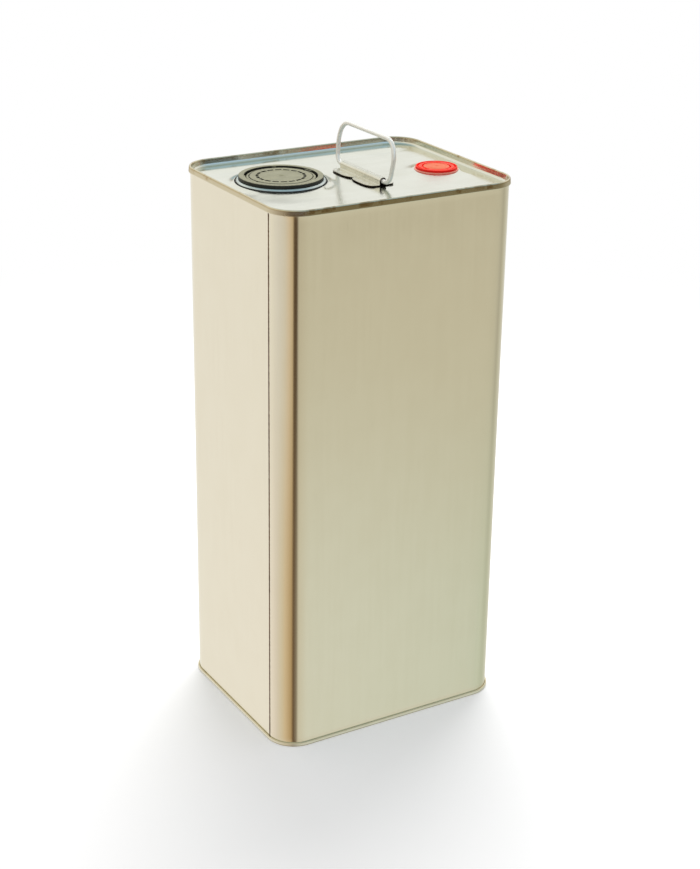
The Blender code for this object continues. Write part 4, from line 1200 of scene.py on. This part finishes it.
surroundings = {
    "low": (
        (0, 0.60, 0.62, 0.49), (32, 0.74, 0.73, 0.62), (59, 0.98, 0.96, 0.92), (110, 0.99, 0.94, 0.86),
        (142, 0.95, 0.84, 0.74), (166, 0.83, 0.73, 0.62), (191, 0.76, 0.64, 0.46), (205, 0.74, 0.56, 0.35),
        (230, 0.51, 0.34, 0.16), (237, 0.14, 0.08, 0.04), (251, 0.32, 0.26, 0.18), (258, 0.72, 0.66, 0.52),
        (300, 0.78, 0.77, 0.66), (309, 0.67, 0.70, 0.58), (325, 0.68, 0.71, 0.58), (345, 0.60, 0.63, 0.50),
    ),
    "level": (
        (0, 0.58, 0.54, 0.42), (32, 0.74, 0.71, 0.62), (59, 0.97, 0.96, 0.94), (110, 0.97, 0.91, 0.83),
        (142, 0.92, 0.85, 0.74), (178, 0.81, 0.75, 0.67), (203, 0.77, 0.69, 0.57), (218, 0.78, 0.63, 0.46),
        (232, 0.66, 0.50, 0.30), (237, 0.12, 0.075, 0.04), (247.5, 0.10, 0.06, 0.03), (254, 0.62, 0.55, 0.41),
        (300, 0.67, 0.61, 0.47), (330, 0.62, 0.57, 0.44), (350, 0.50, 0.46, 0.36),
    ),
    "horizon": (
        (0, 0.45, 0.40, 0.30), (59, 0.42, 0.36, 0.28), (90, 0.56, 0.48, 0.37), (118, 0.76, 0.67, 0.52),
        (150, 0.66, 0.56, 0.43), (205, 0.32, 0.24, 0.15), (222, 0.13, 0.085, 0.05), (262, 0.12, 0.08, 0.05),
        (301, 0.20, 0.155, 0.075), (330, 0.28, 0.23, 0.14),
    ),
    "high": (
        (0, 0.90, 0.88, 0.84), (35, 0.98, 0.99, 0.99), (75, 0.98, 1.0, 1.0), (125, 0.92, 0.90, 0.82),
        (180, 0.85, 0.84, 0.76), (230, 0.76, 0.78, 0.73), (295, 0.46, 0.68, 0.94), (330, 0.56, 0.65, 0.68),
    ),
    "zenith": (0.37, 0.50, 0.56),
    "edges": {"level": (-30, -18), "horizon": (-14, -11), "high": (7, 11), "zenith": (35, 75)},  # elevations of the fades
    "plainLight": 0.66,
}


def compassRamp(tree, turnShare, stops):
    ramp = addNode(tree, "ShaderNodeValToRGB", {0: turnShare})
    elements = ramp.color_ramp.elements
    wrapped = [*stops, (360, *stops[0][1:])]
    while len(elements) < len(wrapped):
        elements.new(1.0)
    for element, (degrees, *colour) in zip(elements, wrapped):
        element.position = degrees / 360
        element.color = rgb(*colour)
    return ramp.outputs[0]


def buildSurroundings():
    world = bpy.data.worlds.new("studio")
    scene.world = world
    world.use_nodes = True
    tree = world.node_tree
    tree.nodes.clear()
    parts = partsOf(tree, addNode(tree, "ShaderNodeTexCoord").outputs["Generated"])
    turn = calc(tree, "DIVIDE", calc(tree, "ARCTAN2", parts["Y"], parts["X"]), tau)
    turnShare = calc(tree, "FRACT", calc(tree, "ADD", turn, 1.0))
    bands = {band: compassRamp(tree, turnShare, surroundings[band]) for band in ("low", "level", "horizon", "high")}
    bands["zenith"] = rgb(*surroundings["zenith"])
    shown = bands["low"]
    for band, (first, last) in surroundings["edges"].items():
        shown = mixColour(tree, remap(tree, parts["Z"], sin(radians(first)), sin(radians(last))), shown, bands[band])
    path = addNode(tree, "ShaderNodeLightPath").outputs
    mirrored = calc(tree, "MAXIMUM", path["Is Glossy Ray"], path["Is Transmission Ray"])
    colour = mixColour(tree, mirrored, rgb(*(surroundings["plainLight"],) * 3), shown)
    colour = mixColour(tree, path["Is Camera Ray"], colour, rgb(1.0, 1.0, 1.0))
    background = result(tree, "ShaderNodeBackground", {"Color": colour, "Strength": 1.0})
    addNode(tree, "ShaderNodeOutputWorld", {"Surface": background})


buildSurroundings()

keyLight = {"compass": 54, "elevation": 56, "distance": 1.5, "size": 1.1, "power": 19.0}
lampData = bpy.data.lights.new("softbox", "AREA")
lampData.shape = "DISK"
lampData.size = keyLight["size"]
lampData.energy = keyLight["power"]
lamp = bpy.data.objects.new("softbox", lampData)
scene.collection.objects.link(lamp)
compass, elevation = radians(keyLight["compass"]), radians(keyLight["elevation"])
towards = Vector((cos(compass) * cos(elevation), sin(compass) * cos(elevation), sin(elevation)))
lamp.location = towards * keyLight["distance"] + Vector((0, 0, can["height"] / 2))
lamp.rotation_euler = towards.to_track_quat("Z", "Y").to_euler()
lamp.visible_glossy = False
scene.view_settings.view_transform = "Standard"
print("studio done")
